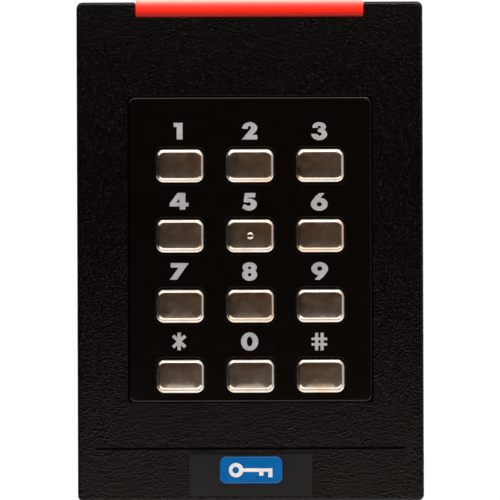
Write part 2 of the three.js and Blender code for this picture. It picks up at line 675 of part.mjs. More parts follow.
// Wall plate: screws to the box, holds the reader by two hooks at the top and a lug below.
function mountingPlate() {
  const { width, height, corner } = PLATE;
  const panel = slab(roundedRect(width, height, corner), DEPTH.plateFront, DEPTH.wall);
  const hooks = [-1, 1].flatMap((side) => {
    const span = [side * HOOK.x - HOOK.width / 2, side * HOOK.x + HOOK.width / 2];
    return [
      block(span, [HOOK.reach, DEPTH.plateFront + PAST], [HOOK.root, HOOK.top]),
      block(span, [HOOK.reach, HOOK.tipRear], [HOOK.root + PAST, HOOK.tip]),
    ];
  });
  const lug = block(
    [-LUG.width / 2, LUG.width / 2],
    [LUG.front, DEPTH.plateFront + PAST],
    [LUG.bottom, LUG.top],
  );
  const insertBore = turnedDownwards([
    [0, -INSERT.top - 0.3],
    [INSERT.outer + TOUCH, -INSERT.top - 0.3],
    [INSERT.outer + TOUCH, -LUG.bottom + PAST],
    [0, -LUG.bottom + PAST],
  ], SECURITY.y);

  const through = (outline) => slab(outline, DEPTH.plateFront - PAST, DEPTH.wall + PAST);
  const wireOpening = through(roundedSpan(
    WIRE_OPENING.width, WIRE_OPENING.bottom, WIRE_OPENING.top, WIRE_OPENING.corner));
  const upperOpening = through(roundedSpan(
    UPPER_OPENING.width, UPPER_OPENING.bottom, UPPER_OPENING.top, UPPER_OPENING.corner));
  const slotEnd = roundEnd(SLOT.width);
  const boxSlots = [-1, 1].map((side) => through(
    roundedRect(SLOT.length, SLOT.width, slotEnd, 0, side * BOX_SCREW_SPACING / 2)));
  const sideSlots = [-1, 1].map((side) => through(
    roundedRect(SLOT.width, SLOT.length, slotEnd, side * SIDE_SLOT_SPACING / 2, 0)));
  const cornerHoles = BOARD_SCREWS.map(({ x, z }) => rodAlongY(
    CORNER_HOLE.radius, DEPTH.plateFront - PAST, DEPTH.wall + PAST,
    Math.sign(x) * CORNER_HOLE.x, Math.sign(z) * CORNER_HOLE.z, 16));
  return cut(
    join(panel, ...hooks, lug),
    insertBore, wireOpening, upperOpening, ...boxSlots, ...sideSlots, ...cornerHoles,
  );
}

function threadedInsert() {
  const { outer, inner, top, bottom } = INSERT;
  return turnedDownwards([
    [inner, -top],
    [outer, -top],
    [outer, -bottom],
    [inner, -bottom],
    [inner, -top],
  ], SECURITY.y);
}

// Countersunk screw with a pinned recess, driven up through the cover's bottom wall.
function securityScrew() {
  const { y, shankRadius, headRadius, headTip, neck, end } = SECURITY;
  const body = turnedDownwards([
    [0, -end],
    [shankRadius * 0.7, -end],
    [shankRadius, -end + 0.6],
    [shankRadius, -neck],
    [headRadius, -headTip - 0.2],
    [headRadius, -headTip],
    [0, -headTip],
  ], y);
  const pinRadius = 0.5;
  const socketRadius = 1.6;
  const socketEnd = -headTip - 1;
  const socket = turnedDownwards([
    [pinRadius, socketEnd],
    [socketRadius, socketEnd],
    [socketRadius, -headTip + PAST],
    [pinRadius, -headTip + PAST],
    [pinRadius, socketEnd],
  ], y, 6);
  return cut(body, socket);
}

function wallGasket() {
  return slab(
    roundedRect(BODY.width - 0.4, BODY.height - 0.4, BODY.corner),
    DEPTH.gasketFront,
    DEPTH.wall,
    [roundedRect(PLATE.width + 0.8, PLATE.height + 0.8, PLATE.corner)],
  );
}

place(mounting, 'mounting_plate', mountingPlate(), MATERIALS.plate);
place(mounting, 'threaded_insert', threadedInsert(), MATERIALS.brass);
place(mounting, 'security_screw', securityScrew(), MATERIALS.steel);
place(mounting, 'wall_gasket', wallGasket(), MATERIALS.foam);

export default reader;
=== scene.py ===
"""Looks of a wall-mounted keypad access reader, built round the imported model.

Lengths are in millimetres and become metres where a mesh is made. The axes are the model's:
+X is the user's right, +Z is up, and the keypad faces -Y.
"""

import math

import bmesh
import bpy
from mathutils import Matrix, Vector

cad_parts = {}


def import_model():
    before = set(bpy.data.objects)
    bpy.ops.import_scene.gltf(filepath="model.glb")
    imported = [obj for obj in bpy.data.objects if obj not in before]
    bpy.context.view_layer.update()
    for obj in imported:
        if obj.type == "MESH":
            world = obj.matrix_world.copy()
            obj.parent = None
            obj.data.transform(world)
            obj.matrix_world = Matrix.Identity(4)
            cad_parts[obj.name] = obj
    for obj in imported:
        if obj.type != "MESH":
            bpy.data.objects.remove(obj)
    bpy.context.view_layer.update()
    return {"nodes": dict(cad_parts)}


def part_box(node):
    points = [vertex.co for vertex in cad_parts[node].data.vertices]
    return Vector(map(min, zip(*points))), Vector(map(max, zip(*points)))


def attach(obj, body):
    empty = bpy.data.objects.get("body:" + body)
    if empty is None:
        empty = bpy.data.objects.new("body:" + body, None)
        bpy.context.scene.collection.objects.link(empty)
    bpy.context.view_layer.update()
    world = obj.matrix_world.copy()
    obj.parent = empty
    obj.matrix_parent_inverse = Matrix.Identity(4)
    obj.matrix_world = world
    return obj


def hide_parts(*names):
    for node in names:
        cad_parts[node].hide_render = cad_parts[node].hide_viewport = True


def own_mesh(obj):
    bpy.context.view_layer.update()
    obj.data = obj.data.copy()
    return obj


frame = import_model()

# ---- driving sizes

MM = 0.001
ROOT = "reader"
PAST = 1.0  # how far a cutter runs past the face it opens
PLAY = 0.05  # between pieces that lie against each other
HAIR = 0.02  # between pieces that must not quite touch
LEAST_CORNER = 0.1  # the smallest corner radius of an inset outline
FULL_ROUND = 0.01  # how far the corners of a slot or a round hole stay short of half its width
BEVEL_ANGLE = 35  # edges that turn by more than this many degrees are bevelled
SHARP_ANGLE = 32  # and by more than this are shaded as edges

KEY_NAMES = ["1", "2", "3", "4", "5", "6", "7", "8", "9", "star", "0", "hash"]
KEY = {
    "corner": 1.9,
    "lip": 0.95,
    "lip_thick": 1.0,
    "gap": 0.5,
    "shoulder": 1.15,  # width of the sloped shoulder at the sides,
    "brow": 0.92,  # at the top
    "chin": 1.4,  # and at the bottom
    "face_tilt": 4,  # slopes in degrees: at the face's edge,
    "inner_tilt": 20,  # where the shoulder starts,
    "outer_tilt": 47,  # and where its outer edge starts to turn down
    "blend": 0.34,  # width of the soft edge between the face and the shoulder
    "edge": 0.5,
    "crown": 0.13,
    "face_corner": 1.15,
}
FACE_RINGS = (0.04, 0.2, 0.4, 0.6, 0.75, 0.9)  # shares of the face's size, from its middle outwards
DOTTED_KEY = "5"
DOT = {"radius": 0.85, "root": 0.5}
BEZEL = {"corner": 1.7, "edge": 0.48, "key_edge": 0.15, "flange": 2, "flange_corner": 2, "behind_keys": 0.9}
KEYPAD_OPENING = {"gap": 0.25, "corner": 0.5, "edge": 0.15}
COVER = {"corner": 1.6, "draft": 0.1, "edge": 0.8, "wall": 2.5, "cavity_corner": 1.2}
GROOVE = {"width": 75, "height": 0.8, "depth": 1.3, "z": -47.6, "corner": 0.3, "edge": 0.04}
RECESS = {"gap": 0.1, "corner": 0.5, "edge": 0.08}
LIGHT_BAR = {
    "depth": 7.7, "bottom": 57.2, "play": 0.25, "wall": 2.8,
    "foot": 2.3,  # how far its foot, inside the cover, stands behind its front
    "edge": 0.9, "lower_edge": 0.3, "rear_edge": 0.4, "end_edge": 0.14,
}
BADGE = {"corner": 1.6, "edge": 0.3}
LEGEND = {"height": 4.03, "rise": 8.4, "shift": -0.2, "turn": -0.25}
PRINT = {"thick": 0.03, "lift": 0.002}  # both measured from the printed face
BOSS = {"x": 32, "z": 47.5, "radius": 2.9, "rear": -16.05, "root": 0.5, "pilot": 1.05, "pilot_end": 1.8}
HOOK = {
    "x": 18, "half_width": 4, "arm_z": (54.5, 57.9), "arm_edge": 0.2,
    "front": 1.5,  # behind the plate's foremost point
    "tip_thick": 1.8, "tip_bottom": 55.5, "tip_edge": 0.3,
    "play": 0.5, "pocket_y": (-7.7, -4.9), "pocket_z": (57.2, 59.7),
}
# The security screw's hole: radii, and the depths below Z = 0 where it ends and where it widens.
SECURITY = {"y": -5.85, "top": 57.7, "shank": 1.9, "neck": 58.8, "head": 3.65, "chamfer": 0.25}
STAKE_HOLES = [(x, z) for x in (-8.5, 8.5) for z in (12.3, -21.7)]
STAKE_HOLE_RADIUS = 1.55
MAT = {"sheet": 1, "corner": 1}
DOME = {"base": 4.5, "top": 3.0, "round": 0.35, "open": 3.8, "throat": 0.4, "wall": 0.7, "keep": 0.6}


def corners(node):
    """A CAD node's lowest and highest corner, in millimetres."""
    low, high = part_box(node)
    return low / MM, high / MM


def centre(node):
    low, high = corners(node)
    return (low + high) / 2


def size(node):
    low, high = corners(node)
    return high - low


# ---- outlines, as (x, z) points


def arc(x, z, radius_x, radius_z, start, end, steps):
    """Points along an ellipse from one angle to another, in degrees, both ends included."""
    angles = [math.radians(start + (end - start) * i / steps) for i in range(steps + 1)]
    return [(x + radius_x * math.cos(a), z + radius_z * math.sin(a)) for a in angles]


def oval(x, z, radius_x, radius_z, steps):
    return arc(x, z, radius_x, radius_z, 0, 360, steps)[:-1]


def circle(x, z, radius, steps):
    return oval(x, z, radius, radius, steps)


def rounded_rect(width, height, radius, x=0.0, z=0.0, steps=8):
    """A rectangle with rounded corners, anticlockwise as the user sees it."""
    points = []
    for quarter, (side_x, side_z) in enumerate([(1, -1), (1, 1), (-1, 1), (-1, -1)]):
        centre_x = x + side_x * (width / 2 - radius)
        centre_z = z + side_z * (height / 2 - radius)
        start = (quarter - 1) * 90
        points += arc(centre_x, centre_z, radius, radius, start, start + 90, steps)
    return points


def inset_rect(width, height, radius, x=0.0, z=0.0, steps=8):
    """A function that gives the rounded rectangle's outline at an inset (negative outside it)."""

    def outline(inset):
        shrunk = max(radius - inset, LEAST_CORNER)
        return rounded_rect(width - 2 * inset, height - 2 * inset, shrunk, x, z, steps)

    return outline


def node_rect(node, corner, growth=0.0, steps=8):
    """The same function for the front view of a CAD node, grown on every side."""
    extent, middle = size(node), centre(node)
    width, height = extent.x + 2 * growth, extent.z + 2 * growth
    return inset_rect(width, height, corner, middle.x, middle.z, steps)


# ---- solids


def span(middle, half):
    return middle - half, middle + half


def new_piece(name, data):
    """An object in the scene: a piece of the reader, a lamp or the camera."""
    piece = bpy.data.objects.new(name, data)
    bpy.context.scene.collection.objects.link(piece)
    return piece


def clean(mesh):
    """Joins vertices that share a place and makes the faces look outwards."""
    work = bmesh.new()
    work.from_mesh(mesh)
    bmesh.ops.remove_doubles(work, verts=work.verts, dist=1e-7)
    bmesh.ops.recalc_face_normals(work, faces=work.faces)
    work.to_mesh(mesh)
    work.free()


def mesh_piece(name, vertices, faces):
    """An object whose mesh has these vertices, given in millimetres."""
    mesh = bpy.data.meshes.new(name)
    mesh.from_pydata([Vector(v) * MM for v in vertices], [], faces)
    clean(mesh)
    return new_piece(name, mesh)


def loft(name, rings):
    """A closed solid through outlines of equal point counts, [(outline, y), ...], front first."""
    count = len(rings[0][0])
    vertices = [(x, y, z) for outline, y in rings for x, z in outline]
    last = len(vertices) - count
    faces = [tuple(range(count)), tuple(reversed(range(last, last + count)))]
    for start in range(0, last, count):
        for i in range(count):
            j = (i + 1) % count
            faces.append((start + i, start + count + i, start + count + j, start + j))
    return mesh_piece(name, vertices, faces)


def quarter_turn(steps):
    return [math.pi / 2 * i / steps for i in range(steps + 1)]


def rounded_front(outline_at, front, edge, steps=6):
    """Rings of a quarter round that leads from the front face to the side walls."""
    angles = quarter_turn(steps)
    return [(outline_at(edge * (1 - math.sin(a))), front + edge * (1 - math.cos(a))) for a in angles]


def rounded_rear(outline_at, rear, edge, steps=6):
    """The same round at the rear face, from the side walls inwards."""
    mirrored = rounded_front(outline_at, 0, edge, steps)
    return [(outline, rear - depth) for outline, depth in reversed(mirrored)]


def plate_rings(outline_at, front, rear, edge):
    return [*rounded_front(outline_at, front, edge, 4), *rounded_rear(outline_at, rear, edge, 4)]


def mouth(outline_at, front, edge, steps=4):
    """Rings of a quarter round that leads from the front face into a hole."""
    return rounded_front(lambda inset: outline_at(-inset), front, edge, steps)


def opening(outline_at, front, rear, edge):
    """A cutter through the front face that leaves the mouth's edge rounded."""
    outside = (outline_at(-edge), front - PAST)
    return loft("cutter", [outside, *mouth(outline_at, front, edge), (outline_at(0), rear)])


def through(outline_at, front, rear, edge):
    """A cutter right through a plate that leaves both of the hole's edges rounded."""
    entry = [(outline_at(-edge), front - PAST), *mouth(outline_at, front, edge)]
    way_out = [(outline, front + rear - y) for outline, y in reversed(entry)]
    return loft("cutter", [*entry, *way_out])


def slab(name, outline, front, rear):
    return loft(name, [(outline, front), (outline, rear)])


def block(name, x, y, z):
    """A box between pairs of coordinates."""
    return slab(name, [(x[0], z[0]), (x[1], z[0]), (x[1], z[1]), (x[0], z[1])], *y)


def turned(name, profile, steps=32):
    """A profile of (radius, y) pairs turned about the Y axis and closed at both ends."""
    return loft(name, [(circle(0, 0, max(radius, 1e-4), steps), y) for radius, y in profile])


def pillar(radius, start, end):
    """The profile of a plain cylinder."""
    return [(0, start), (radius, start), (radius, end), (0, end)]


def move(piece, x, y, z):
    piece.data.transform(Matrix.Translation(Vector((x, y, z)) * MM))
    return piece


def turn(piece, degrees, axis):
    piece.data.transform(Matrix.Rotation(math.radians(degrees), 4, axis))
    return piece


def turned_down(name, profile, y, steps=32):
    """A profile of (radius, depth below Z = 0) pairs turned about an upright axis."""
    return move(turn(turned(name, profile, steps), -90, "X"), 0, y, 0)


def settle(piece):
    """Replaces the piece's mesh by what its modifiers make of it."""
    graph = bpy.context.evaluated_depsgraph_get()
    mesh = bpy.data.meshes.new_from_object(piece.evaluated_get(graph))
    piece.modifiers.clear()
    piece.data = mesh
    return piece


def bevel(piece, width, steps=3):
    modifier = piece.modifiers.new("round edges", "BEVEL")
    modifier.width = width * MM
    modifier.segments = steps
    modifier.limit_method = "ANGLE"
    modifier.angle_limit = math.radians(BEVEL_ANGLE)
    return modifier


def soft_block(name, x, y, z, edge):
    piece = block(name, x, y, z)
    bevel(piece, edge)
    return settle(piece)


def combine(piece, others, operation):
    for other in others:
        modifier = piece.modifiers.new("boolean", "BOOLEAN")
        modifier.operation = operation
        modifier.solver = "EXACT"
        modifier.object = other
        settle(piece)
        bpy.data.objects.remove(other)
    return piece


def cut(piece, *cutters):
    return combine(piece, cutters, "DIFFERENCE")


def join(piece, *additions):
    return combine(piece, additions, "UNION")


def gather(name, pieces):
    """One piece made of several separate solids."""
    work = bmesh.new()
    for piece in pieces:
        work.from_mesh(piece.data)
        bpy.data.objects.remove(piece)
    mesh = bpy.data.meshes.new(name)
    work.to_mesh(mesh)
    work.free()
    return new_piece(name, mesh)


def flat_solid(name, outlines, front, rear):
    """A thin solid from 2-D outlines, where an outline inside another is a hole."""
    curve = bpy.data.curves.new(name, "CURVE")
    curve.dimensions = "2D"
    curve.fill_mode = "BOTH"
    curve.extrude = (rear - front) / 2 * MM
    for outline in outlines:
        spline = curve.splines.new("POLY")
        spline.points.add(len(outline) - 1)
        for point, (x, z) in zip(spline.points, outline):
            point.co = (x * MM, z * MM, 0, 1)
        spline.use_cyclic_u = True
    drawn = new_piece(name, curve)
    bpy.context.view_layer.update()
    mesh = bpy.data.meshes.new_from_object(drawn)
    bpy.data.objects.remove(drawn)
    mesh.transform(Matrix.Rotation(math.radians(90), 4, "X"))
    mesh.transform(Matrix.Translation((0, (front + rear) / 2 * MM, 0)))
    clean(mesh)
    return new_piece(name, mesh)


def smooth(piece):
    """Smooth shading that keeps flat faces flat and sharp edges sharp."""
    piece.data.shade_smooth()
    piece.data.set_sharp_from_angle(angle=math.radians(SHARP_ANGLE))
    modifier = piece.modifiers.new("face weighted normals", "WEIGHTED_NORMAL")
    modifier.keep_sharp = True


def finish_piece(piece, body, slot, paint, *nodes):
    """Paints the piece, lets it ride on a body and stand for CAD nodes."""
    piece.data.materials.clear()
    piece.data.materials.append(PAINTS[paint])
    smooth(piece)
    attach(piece, body)
    if nodes:
        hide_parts(*nodes)


# ---- materials


def map_range(tree, value, limits):
    """A value brought from one range to another: (from low, from high, to low, to high)."""
    ramp = tree.nodes.new("ShaderNodeMapRange")
    tree.links.new(value, ramp.inputs["Value"])
    for socket, number in zip(("From Min", "From Max", "To Min", "To Max"), limits):
        ramp.inputs[socket].default_value = number
    return ramp.outputs["Result"]


class Paint:
    """A Principled material and the few node chains that the materials share."""

    def __init__(self, name, colour, roughness, metallic=0.0, **sockets):
        self.material = bpy.data.materials.new(name)
        self.material.use_nodes = True
        self.tree = self.material.node_tree
        self.shader = self.tree.nodes["Principled BSDF"]
        self.shader.inputs["Base Color"].default_value = (*colour, 1)
        self.shader.inputs["Roughness"].default_value = roughness
        self.shader.inputs["Metallic"].default_value = metallic
        for socket, value in sockets.items():
            self.shader.inputs[socket.replace("_", " ")].default_value = value
        self.colour = colour
        self.roughness = roughness
        self.place = self.node("ShaderNodeTexCoord").outputs["Object"]
        self.normal = None

    def node(self, kind, **settings):
        made = self.tree.nodes.new(kind)
        for key, value in settings.items():
            if key in made.inputs:
                made.inputs[key].default_value = value
            else:
                setattr(made, key, value)
        return made

    def link(self, output, target):
        self.tree.links.new(output, target)

    def noise(self, feature, detail=3.0, squeeze=(1, 1, 1)):
        """Noise whose features are about `feature` millimetres across, or less where squeezed."""
        texture = self.node("ShaderNodeTexNoise", Scale=1 / (feature * MM), Detail=detail)
        self.link(self.scaled(squeeze), texture.inputs["Vector"])
        return texture.outputs["Fac"]

    def cells(self, feature, squeeze=(1, 1, 1)):
        texture = self.node("ShaderNodeTexVoronoi", Scale=1 / (feature * MM))
        self.link(self.scaled(squeeze), texture.inputs["Vector"])
        return texture.outputs["Distance"]

    def scaled(self, squeeze):
        mapping = self.node("ShaderNodeMapping", Scale=squeeze)
        self.link(self.place, mapping.inputs["Vector"])
        return mapping.outputs["Vector"]

    def remap(self, value, *limits):
        return map_range(self.tree, value, limits)

    def along(self, axis):
        split = self.node("ShaderNodeSeparateXYZ")
        self.link(self.place, split.inputs[0])
        return split.outputs[axis]

    def height_ramp(self, stops):
        """Colours by height: [(z in millimetres, colour), ...] from low to high."""
        low, high = stops[0][0], stops[-1][0]
        ramp = self.node("ShaderNodeValToRGB")
        self.link(self.remap(self.along("Z"), low * MM, high * MM, 0, 1), ramp.inputs["Fac"])
        elements = ramp.color_ramp.elements
        for index, (z, colour) in enumerate(stops):
            share = (z - low) / (high - low)
            element = elements[index] if index < 2 else elements.new(share)
            element.position = share
            element.color = (*colour, 1)
        return ramp.outputs["Color"]

    def tint(self, factor, colour):
        """Mixes the base colour towards another one by a 0 to 1 factor."""
        mix = self.node("ShaderNodeMix", data_type="RGBA")
        base = self.shader.inputs["Base Color"]
        if base.is_linked:
            self.link(base.links[0].from_socket, mix.inputs[6])
        else:
            mix.inputs[6].default_value = (*self.colour, 1)
        mix.inputs[7].default_value = (*colour, 1)
        self.link(factor, mix.inputs[0])
        self.link(mix.outputs[2], base)

    def vary_roughness(self, factor, spread):
        low, high = self.roughness - spread, self.roughness + spread
        self.link(self.remap(factor, 0.3, 0.7, low, high), self.shader.inputs["Roughness"])

    def bump(self, height, depth):
        """Adds relief of this depth, in millimetres, on top of any relief so far."""
        node = self.node("ShaderNodeBump", Strength=1.0, Distance=depth * MM)
        self.link(height, node.inputs["Height"])
        if self.normal:
            self.link(self.normal, node.inputs["Normal"])
        self.normal = node.outputs["Normal"]
        self.link(self.normal, self.shader.inputs["Normal"])


def housing_paint():
    """Black moulding with a coarse spark-eroded grain."""
    paint = Paint("housing_black", (0.0009, 0.0006, 0.0003), 0.19, Specular_IOR_Level=0.21)
    grain = paint.noise(0.55, 2.0, (1.7, 1, 1))
    paint.tint(paint.remap(paint.noise(9.0), 0.35, 0.65, 0, 1), (0.0007, 0.0004, 0.0002))
    paint.vary_roughness(grain, 0.06)
    paint.bump(grain, 0.15)
    paint.bump(paint.cells(0.55, (1.6, 1, 1)), 0.08)
    return paint.material


def bezel_paint():
    """Black moulding, nearly smooth."""
    paint = Paint("bezel_black", (0.0008, 0.0005, 0.0002), 0.21, Specular_IOR_Level=0.30)
    paint.vary_roughness(paint.noise(2.5), 0.03)
    paint.bump(paint.noise(0.3, 2.0), 0.006)
    return paint.material


def key_paint():
    """Satin-plated die casting with fine brushing and a faint smear of handling."""
    paint = Paint("key_metal", (0.63, 0.59, 0.555), 0.21, 1.0)
    paint.vary_roughness(paint.noise(1.6, 4.0), 0.035)
    paint.tint(paint.remap(paint.noise(11.0), 0.45, 0.65, 0, 0.7), (0.66, 0.48, 0.33))
    paint.tint(paint.remap(paint.noise(2.6), 0.42, 0.68, 0, 0.5), (0.50, 0.43, 0.36))
    paint.tint(paint.remap(paint.noise(0.35, 2.0), 0.4, 0.75, 0, 0.4), (0.50, 0.45, 0.40))
    paint.bump(paint.noise(0.09, 2.0, (1, 1, 3)), 0.0012)
    return paint.material


def lens_paint():
    """Red translucent acrylic. Its colour, which it also glows with, is painted light: painted shade that
    deepens towards its foot and a pale pink painted highlight along its top edge.
    """
    red = (0.8, 0.03, 0.02)
    paint = Paint("light_bar_red", red, 0.2, Specular_IOR_Level=0.25, Emission_Strength=0.30)
    # Painted light by height: painted shade low on the bar, a painted highlight on its rounded top edge.
    painted_highlight_and_shade = paint.height_ramp([
        (57.0, (0.20, 0.020, 0.020)),
        (57.6, (0.34, 0.012, 0.007)),
        (58.5, (0.70, 0.018, 0.008)),
        (59.4, (0.84, 0.042, 0.032)),
        (60.0, (0.84, 0.110, 0.090)),
        (60.6, (0.84, 0.290, 0.270)),
        (61.3, (0.86, 0.440, 0.420)),
    ])
    base = paint.shader.inputs["Base Color"]
    paint.link(painted_highlight_and_shade, base)
    # Behind the front the bar turns plain red, so the painted highlight stays on the front edge.
    paint.tint(paint.remap(paint.along("Y"), -26.1 * MM, -25.2 * MM, 0, 1), (0.72, 0.028, 0.020))
    # The glow carries the same painted highlight and shade.
    paint.link(base.links[0].from_socket, paint.shader.inputs["Emission Color"])
    paint.vary_roughness(paint.noise(3.0), 0.04)
    paint.bump(paint.noise(0.8, 2.0), 0.003)
    return paint.material


def plain_paint(name, colour, roughness, metallic=0.0, relief=0.006, feature=0.4, **sockets):
    """A moulded, cast or pressed surface with light variation and fine relief."""
    paint = Paint(name, colour, roughness, metallic, **sockets)
    darker = tuple(c * 0.8 for c in colour)
    paint.tint(paint.remap(paint.noise(4.0), 0.35, 0.7, 0, 1), darker)
    paint.vary_roughness(paint.noise(1.5), 0.05)
    paint.bump(paint.noise(feature, 3.0), relief)
    return paint.material


def board_paint():
    """Green solder mask with copper tracks showing through as raised, lighter lines."""
    paint = Paint("circuit_board", (0.010, 0.085, 0.030), 0.28)
    brick = paint.node("ShaderNodeTexBrick", Scale=1 / (7 * MM))
    brick.inputs["Mortar Size"].default_value = 0.035
    mapping = paint.node("ShaderNodeMapping", Rotation=(math.radians(90), 0, 0))
    paint.link(paint.place, mapping.inputs["Vector"])
    paint.link(mapping.outputs["Vector"], brick.inputs["Vector"])
    paint.tint(brick.outputs["Fac"], (0.03, 0.17, 0.06))
    paint.tint(paint.remap(paint.cells(2.4), 0.0, 0.16, 1, 0), (0.42, 0.33, 0.12))
    paint.bump(brick.outputs["Fac"], 0.03)
    paint.vary_roughness(paint.noise(2.0), 0.05)
    return paint.material


PAINTS = {
    "housing": housing_paint(),
    "bezel": bezel_paint(),
    "key": key_paint(),
    "lens": lens_paint(),
    "legend": plain_paint("legend_print", (0.42, 0.445, 0.49), 0.5, relief=0.003, feature=0.15),
    "nameplate": plain_paint(
        "nameplate_grey", (0.0125, 0.0122, 0.0145), 0.32, relief=0.0004, Specular_IOR_Level=0.2
    ),
    "badge": plain_paint("badge_blue", (0.0, 0.135, 0.45), 0.2, relief=0.001, Specular_IOR_Level=0.3),
    "mark": plain_paint("badge_mark", (0.86, 0.88, 0.90), 0.3, relief=0.001),
    "silicone": plain_paint("grey_silicone", (0.24, 0.25, 0.26), 0.62, Subsurface_Weight=0.1),
    "carbon": plain_paint("carbon_rubber", (0.012, 0.012, 0.013), 0.7),
    "board": board_paint(),
    "copper": plain_paint("coil_copper", (0.60, 0.25, 0.11), 0.26, 1.0),
    # Black nylon of the connectors, also used as painted shade on the keys' flanges, which show through the
    # gaps round the caps.
    "nylon_and_gap_shade": plain_paint("black_nylon", (0.006, 0.006, 0.006), 0.6),
    "chip": plain_paint("chip_black", (0.016, 0.016, 0.018), 0.5, relief=0.01, feature=0.2),
    "tin": plain_paint("tinned_can", (0.72, 0.73, 0.74), 0.27, 1.0),
    "led": plain_paint("led_white", (0.80, 0.77, 0.66), 0.32),
    "terminal": plain_paint("terminal_green", (0.020, 0.16, 0.045), 0.38),
    "potting": plain_paint("potting_epoxy", (0.010, 0.010, 0.011), 0.16, relief=0.05, feature=5.0),
    "foam": plain_paint("black_foam", (0.018, 0.018, 0.019), 0.9, relief=0.08, feature=0.35),
    "plate": plain_paint("plate_black", (0.016, 0.0155, 0.015), 0.46, relief=0.03, feature=0.6),
    "steel": plain_paint("screw_steel", (0.56, 0.57, 0.58), 0.27, 1.0),
    "brass": plain_paint("insert_brass", (0.72, 0.50, 0.20), 0.26, 1.0),
}

# ---- housing


def front_cover():
    low, high = corners("front_cover")
    width, height = high.x - low.x, high.z - low.z
    front, rim = low.y, high.y
    draft = COVER["draft"]
    outline = inset_rect(width - 2 * draft, height - 2 * draft, COVER["corner"] - draft)
    rim_outline = rounded_rect(width, height, COVER["corner"])
    cover = loft("cover_moulding", [*rounded_front(outline, front, COVER["edge"], 8), (rim_outline, rim)])
    inner_front = corners("keypad_seal")[0].y - PLAY
    wall = COVER["wall"]
    cavity = inset_rect(width - 2 * wall, height - 2 * wall, COVER["cavity_corner"])
    cut(cover, slab("cutter", cavity(0), inner_front, rim + PAST))
    for boss in screw_bosses(inner_front):
        join(cover, boss)
    cut(cover, *front_openings(front, inner_front, high.z), *mounting_openings(low.z))
    finish_piece(cover, ROOT, "housing_black", "housing", "front_cover")


def screw_bosses(inner_front):
    root, pilot_end = inner_front - BOSS["root"], inner_front + BOSS["pilot_end"]
    radius, pilot, rear = BOSS["radius"], BOSS["pilot"], BOSS["rear"]
    for x in (-BOSS["x"], BOSS["x"]):
        for z in (-BOSS["z"], BOSS["z"]):
            boss = turned("boss", pillar(radius, root, rear), 28)
            bore = turned("cutter", pillar(pilot, pilot_end, rear + PAST), 20)
            yield move(cut(boss, bore), x, 0, z)


def front_openings(front, inner_front, top):
    """Cutters for the keypad opening, the light bar's notch, the groove and the nameplate recess."""
    bezel, gap = keypad_plug(), KEYPAD_OPENING["gap"]
    width, height = bezel["width"] + 2 * gap, bezel["height"] + 2 * gap
    keypad = inset_rect(width, height, KEYPAD_OPENING["corner"], 0, bezel["z"])
    bar_low, bar_high = corners("light_bar")
    play = LIGHT_BAR["play"]
    notch_x = (bar_low.x - play, bar_high.x + play)
    notch_y = (front - PAST, front + LIGHT_BAR["depth"] + play)
    notch_z = (LIGHT_BAR["bottom"] - play, top + PAST)
    groove = inset_rect(GROOVE["width"], GROOVE["height"], GROOVE["corner"], 0, GROOVE["z"], 3)
    recess = node_rect("nameplate", RECESS["corner"], RECESS["gap"], 4)
    return [
        opening(keypad, front, inner_front + PAST, KEYPAD_OPENING["edge"]),
        block("cutter", notch_x, notch_y, notch_z),
        opening(groove, front, front + GROOVE["depth"], GROOVE["edge"]),
        opening(recess, front, corners("nameplate")[1].y + PLAY, RECESS["edge"]),
    ]


def mounting_openings(bottom):
    """Cutters for the hooks' pockets at the top and the security screw's hole at the bottom."""
    mouth_depth = -bottom + PLAY
    shank, head, neck = SECURITY["shank"], SECURITY["head"], SECURITY["neck"]
    chamfer = SECURITY["chamfer"]
    hole = [
        (0, SECURITY["top"]), (shank, SECURITY["top"]), (shank, neck), (head, neck),
        (head, mouth_depth - chamfer), (head + chamfer, mouth_depth),
        (head + chamfer, -bottom + PAST), (0, -bottom + PAST),
    ]
    for side in (-1, 1):
        x = span(side * HOOK["x"], HOOK["half_width"] + HOOK["play"])
        yield block("cutter", x, HOOK["pocket_y"], HOOK["pocket_z"])
    yield turned_down("cutter", hole, SECURITY["y"])


def keypad_plug():
    """The part of the bezel that shows in the cover's opening."""
    extent = size("keypad_bezel")
    flange = BEZEL["flange"] + KEYPAD_OPENING["gap"]
    return {
        "width": extent.x - 2 * flange,
        "height": extent.z - 2 * flange,
        "z": centre("keypad_bezel").z,
    }


def light_bar():
    """The lens: its side profile, as (y, z) points, swept along X."""
    low, high = corners("light_bar")
    cover_low, cover_high = corners("front_cover")
    edge, lower_edge, rear_edge = LIGHT_BAR["edge"], LIGHT_BAR["lower_edge"], LIGHT_BAR["rear_edge"]
    foot, rear = cover_low.y + LIGHT_BAR["foot"], cover_low.y + LIGHT_BAR["depth"]
    bottom = LIGHT_BAR["bottom"]
    under_wall = cover_high.z - LIGHT_BAR["wall"]
    profile = [
        (foot, low.z),
        (foot, bottom),
        *arc(low.y + lower_edge, bottom + lower_edge, lower_edge, lower_edge, 270, 180, 5),
        *arc(low.y + edge, high.z - edge, edge, edge, 180, 90, 10),
        *arc(rear - rear_edge, high.z - rear_edge, rear_edge, rear_edge, 90, 0, 4),
        (rear, under_wall),
        (high.y, under_wall),
        (high.y, low.z),
    ]
    half = (high.x - low.x) / 2
    bar = loft("light_bar_lens", [(profile, -half), (profile, half)])
    swap_x_and_y = Matrix(((0, 1, 0, 0), (1, 0, 0, 0), (0, 0, 1, 0), (0, 0, 0, 1)))
    bar.data.transform(swap_x_and_y)
    bar.data.flip_normals()
    bevel(bar, LIGHT_BAR["end_edge"])
    settle(bar)
    finish_piece(bar, ROOT, "light_bar_red", "lens", "light_bar")


def badge():
    low, high = corners("badge")
    outline = node_rect("badge", BADGE["corner"], steps=12)
    dome = loft("badge_dome", [*rounded_front(outline, low.y, BADGE["edge"], 6), (outline(0), high.y)])
    finish_piece(dome, ROOT, "badge_blue", "badge", "badge")
    key_mark(centre("badge"), low.y)


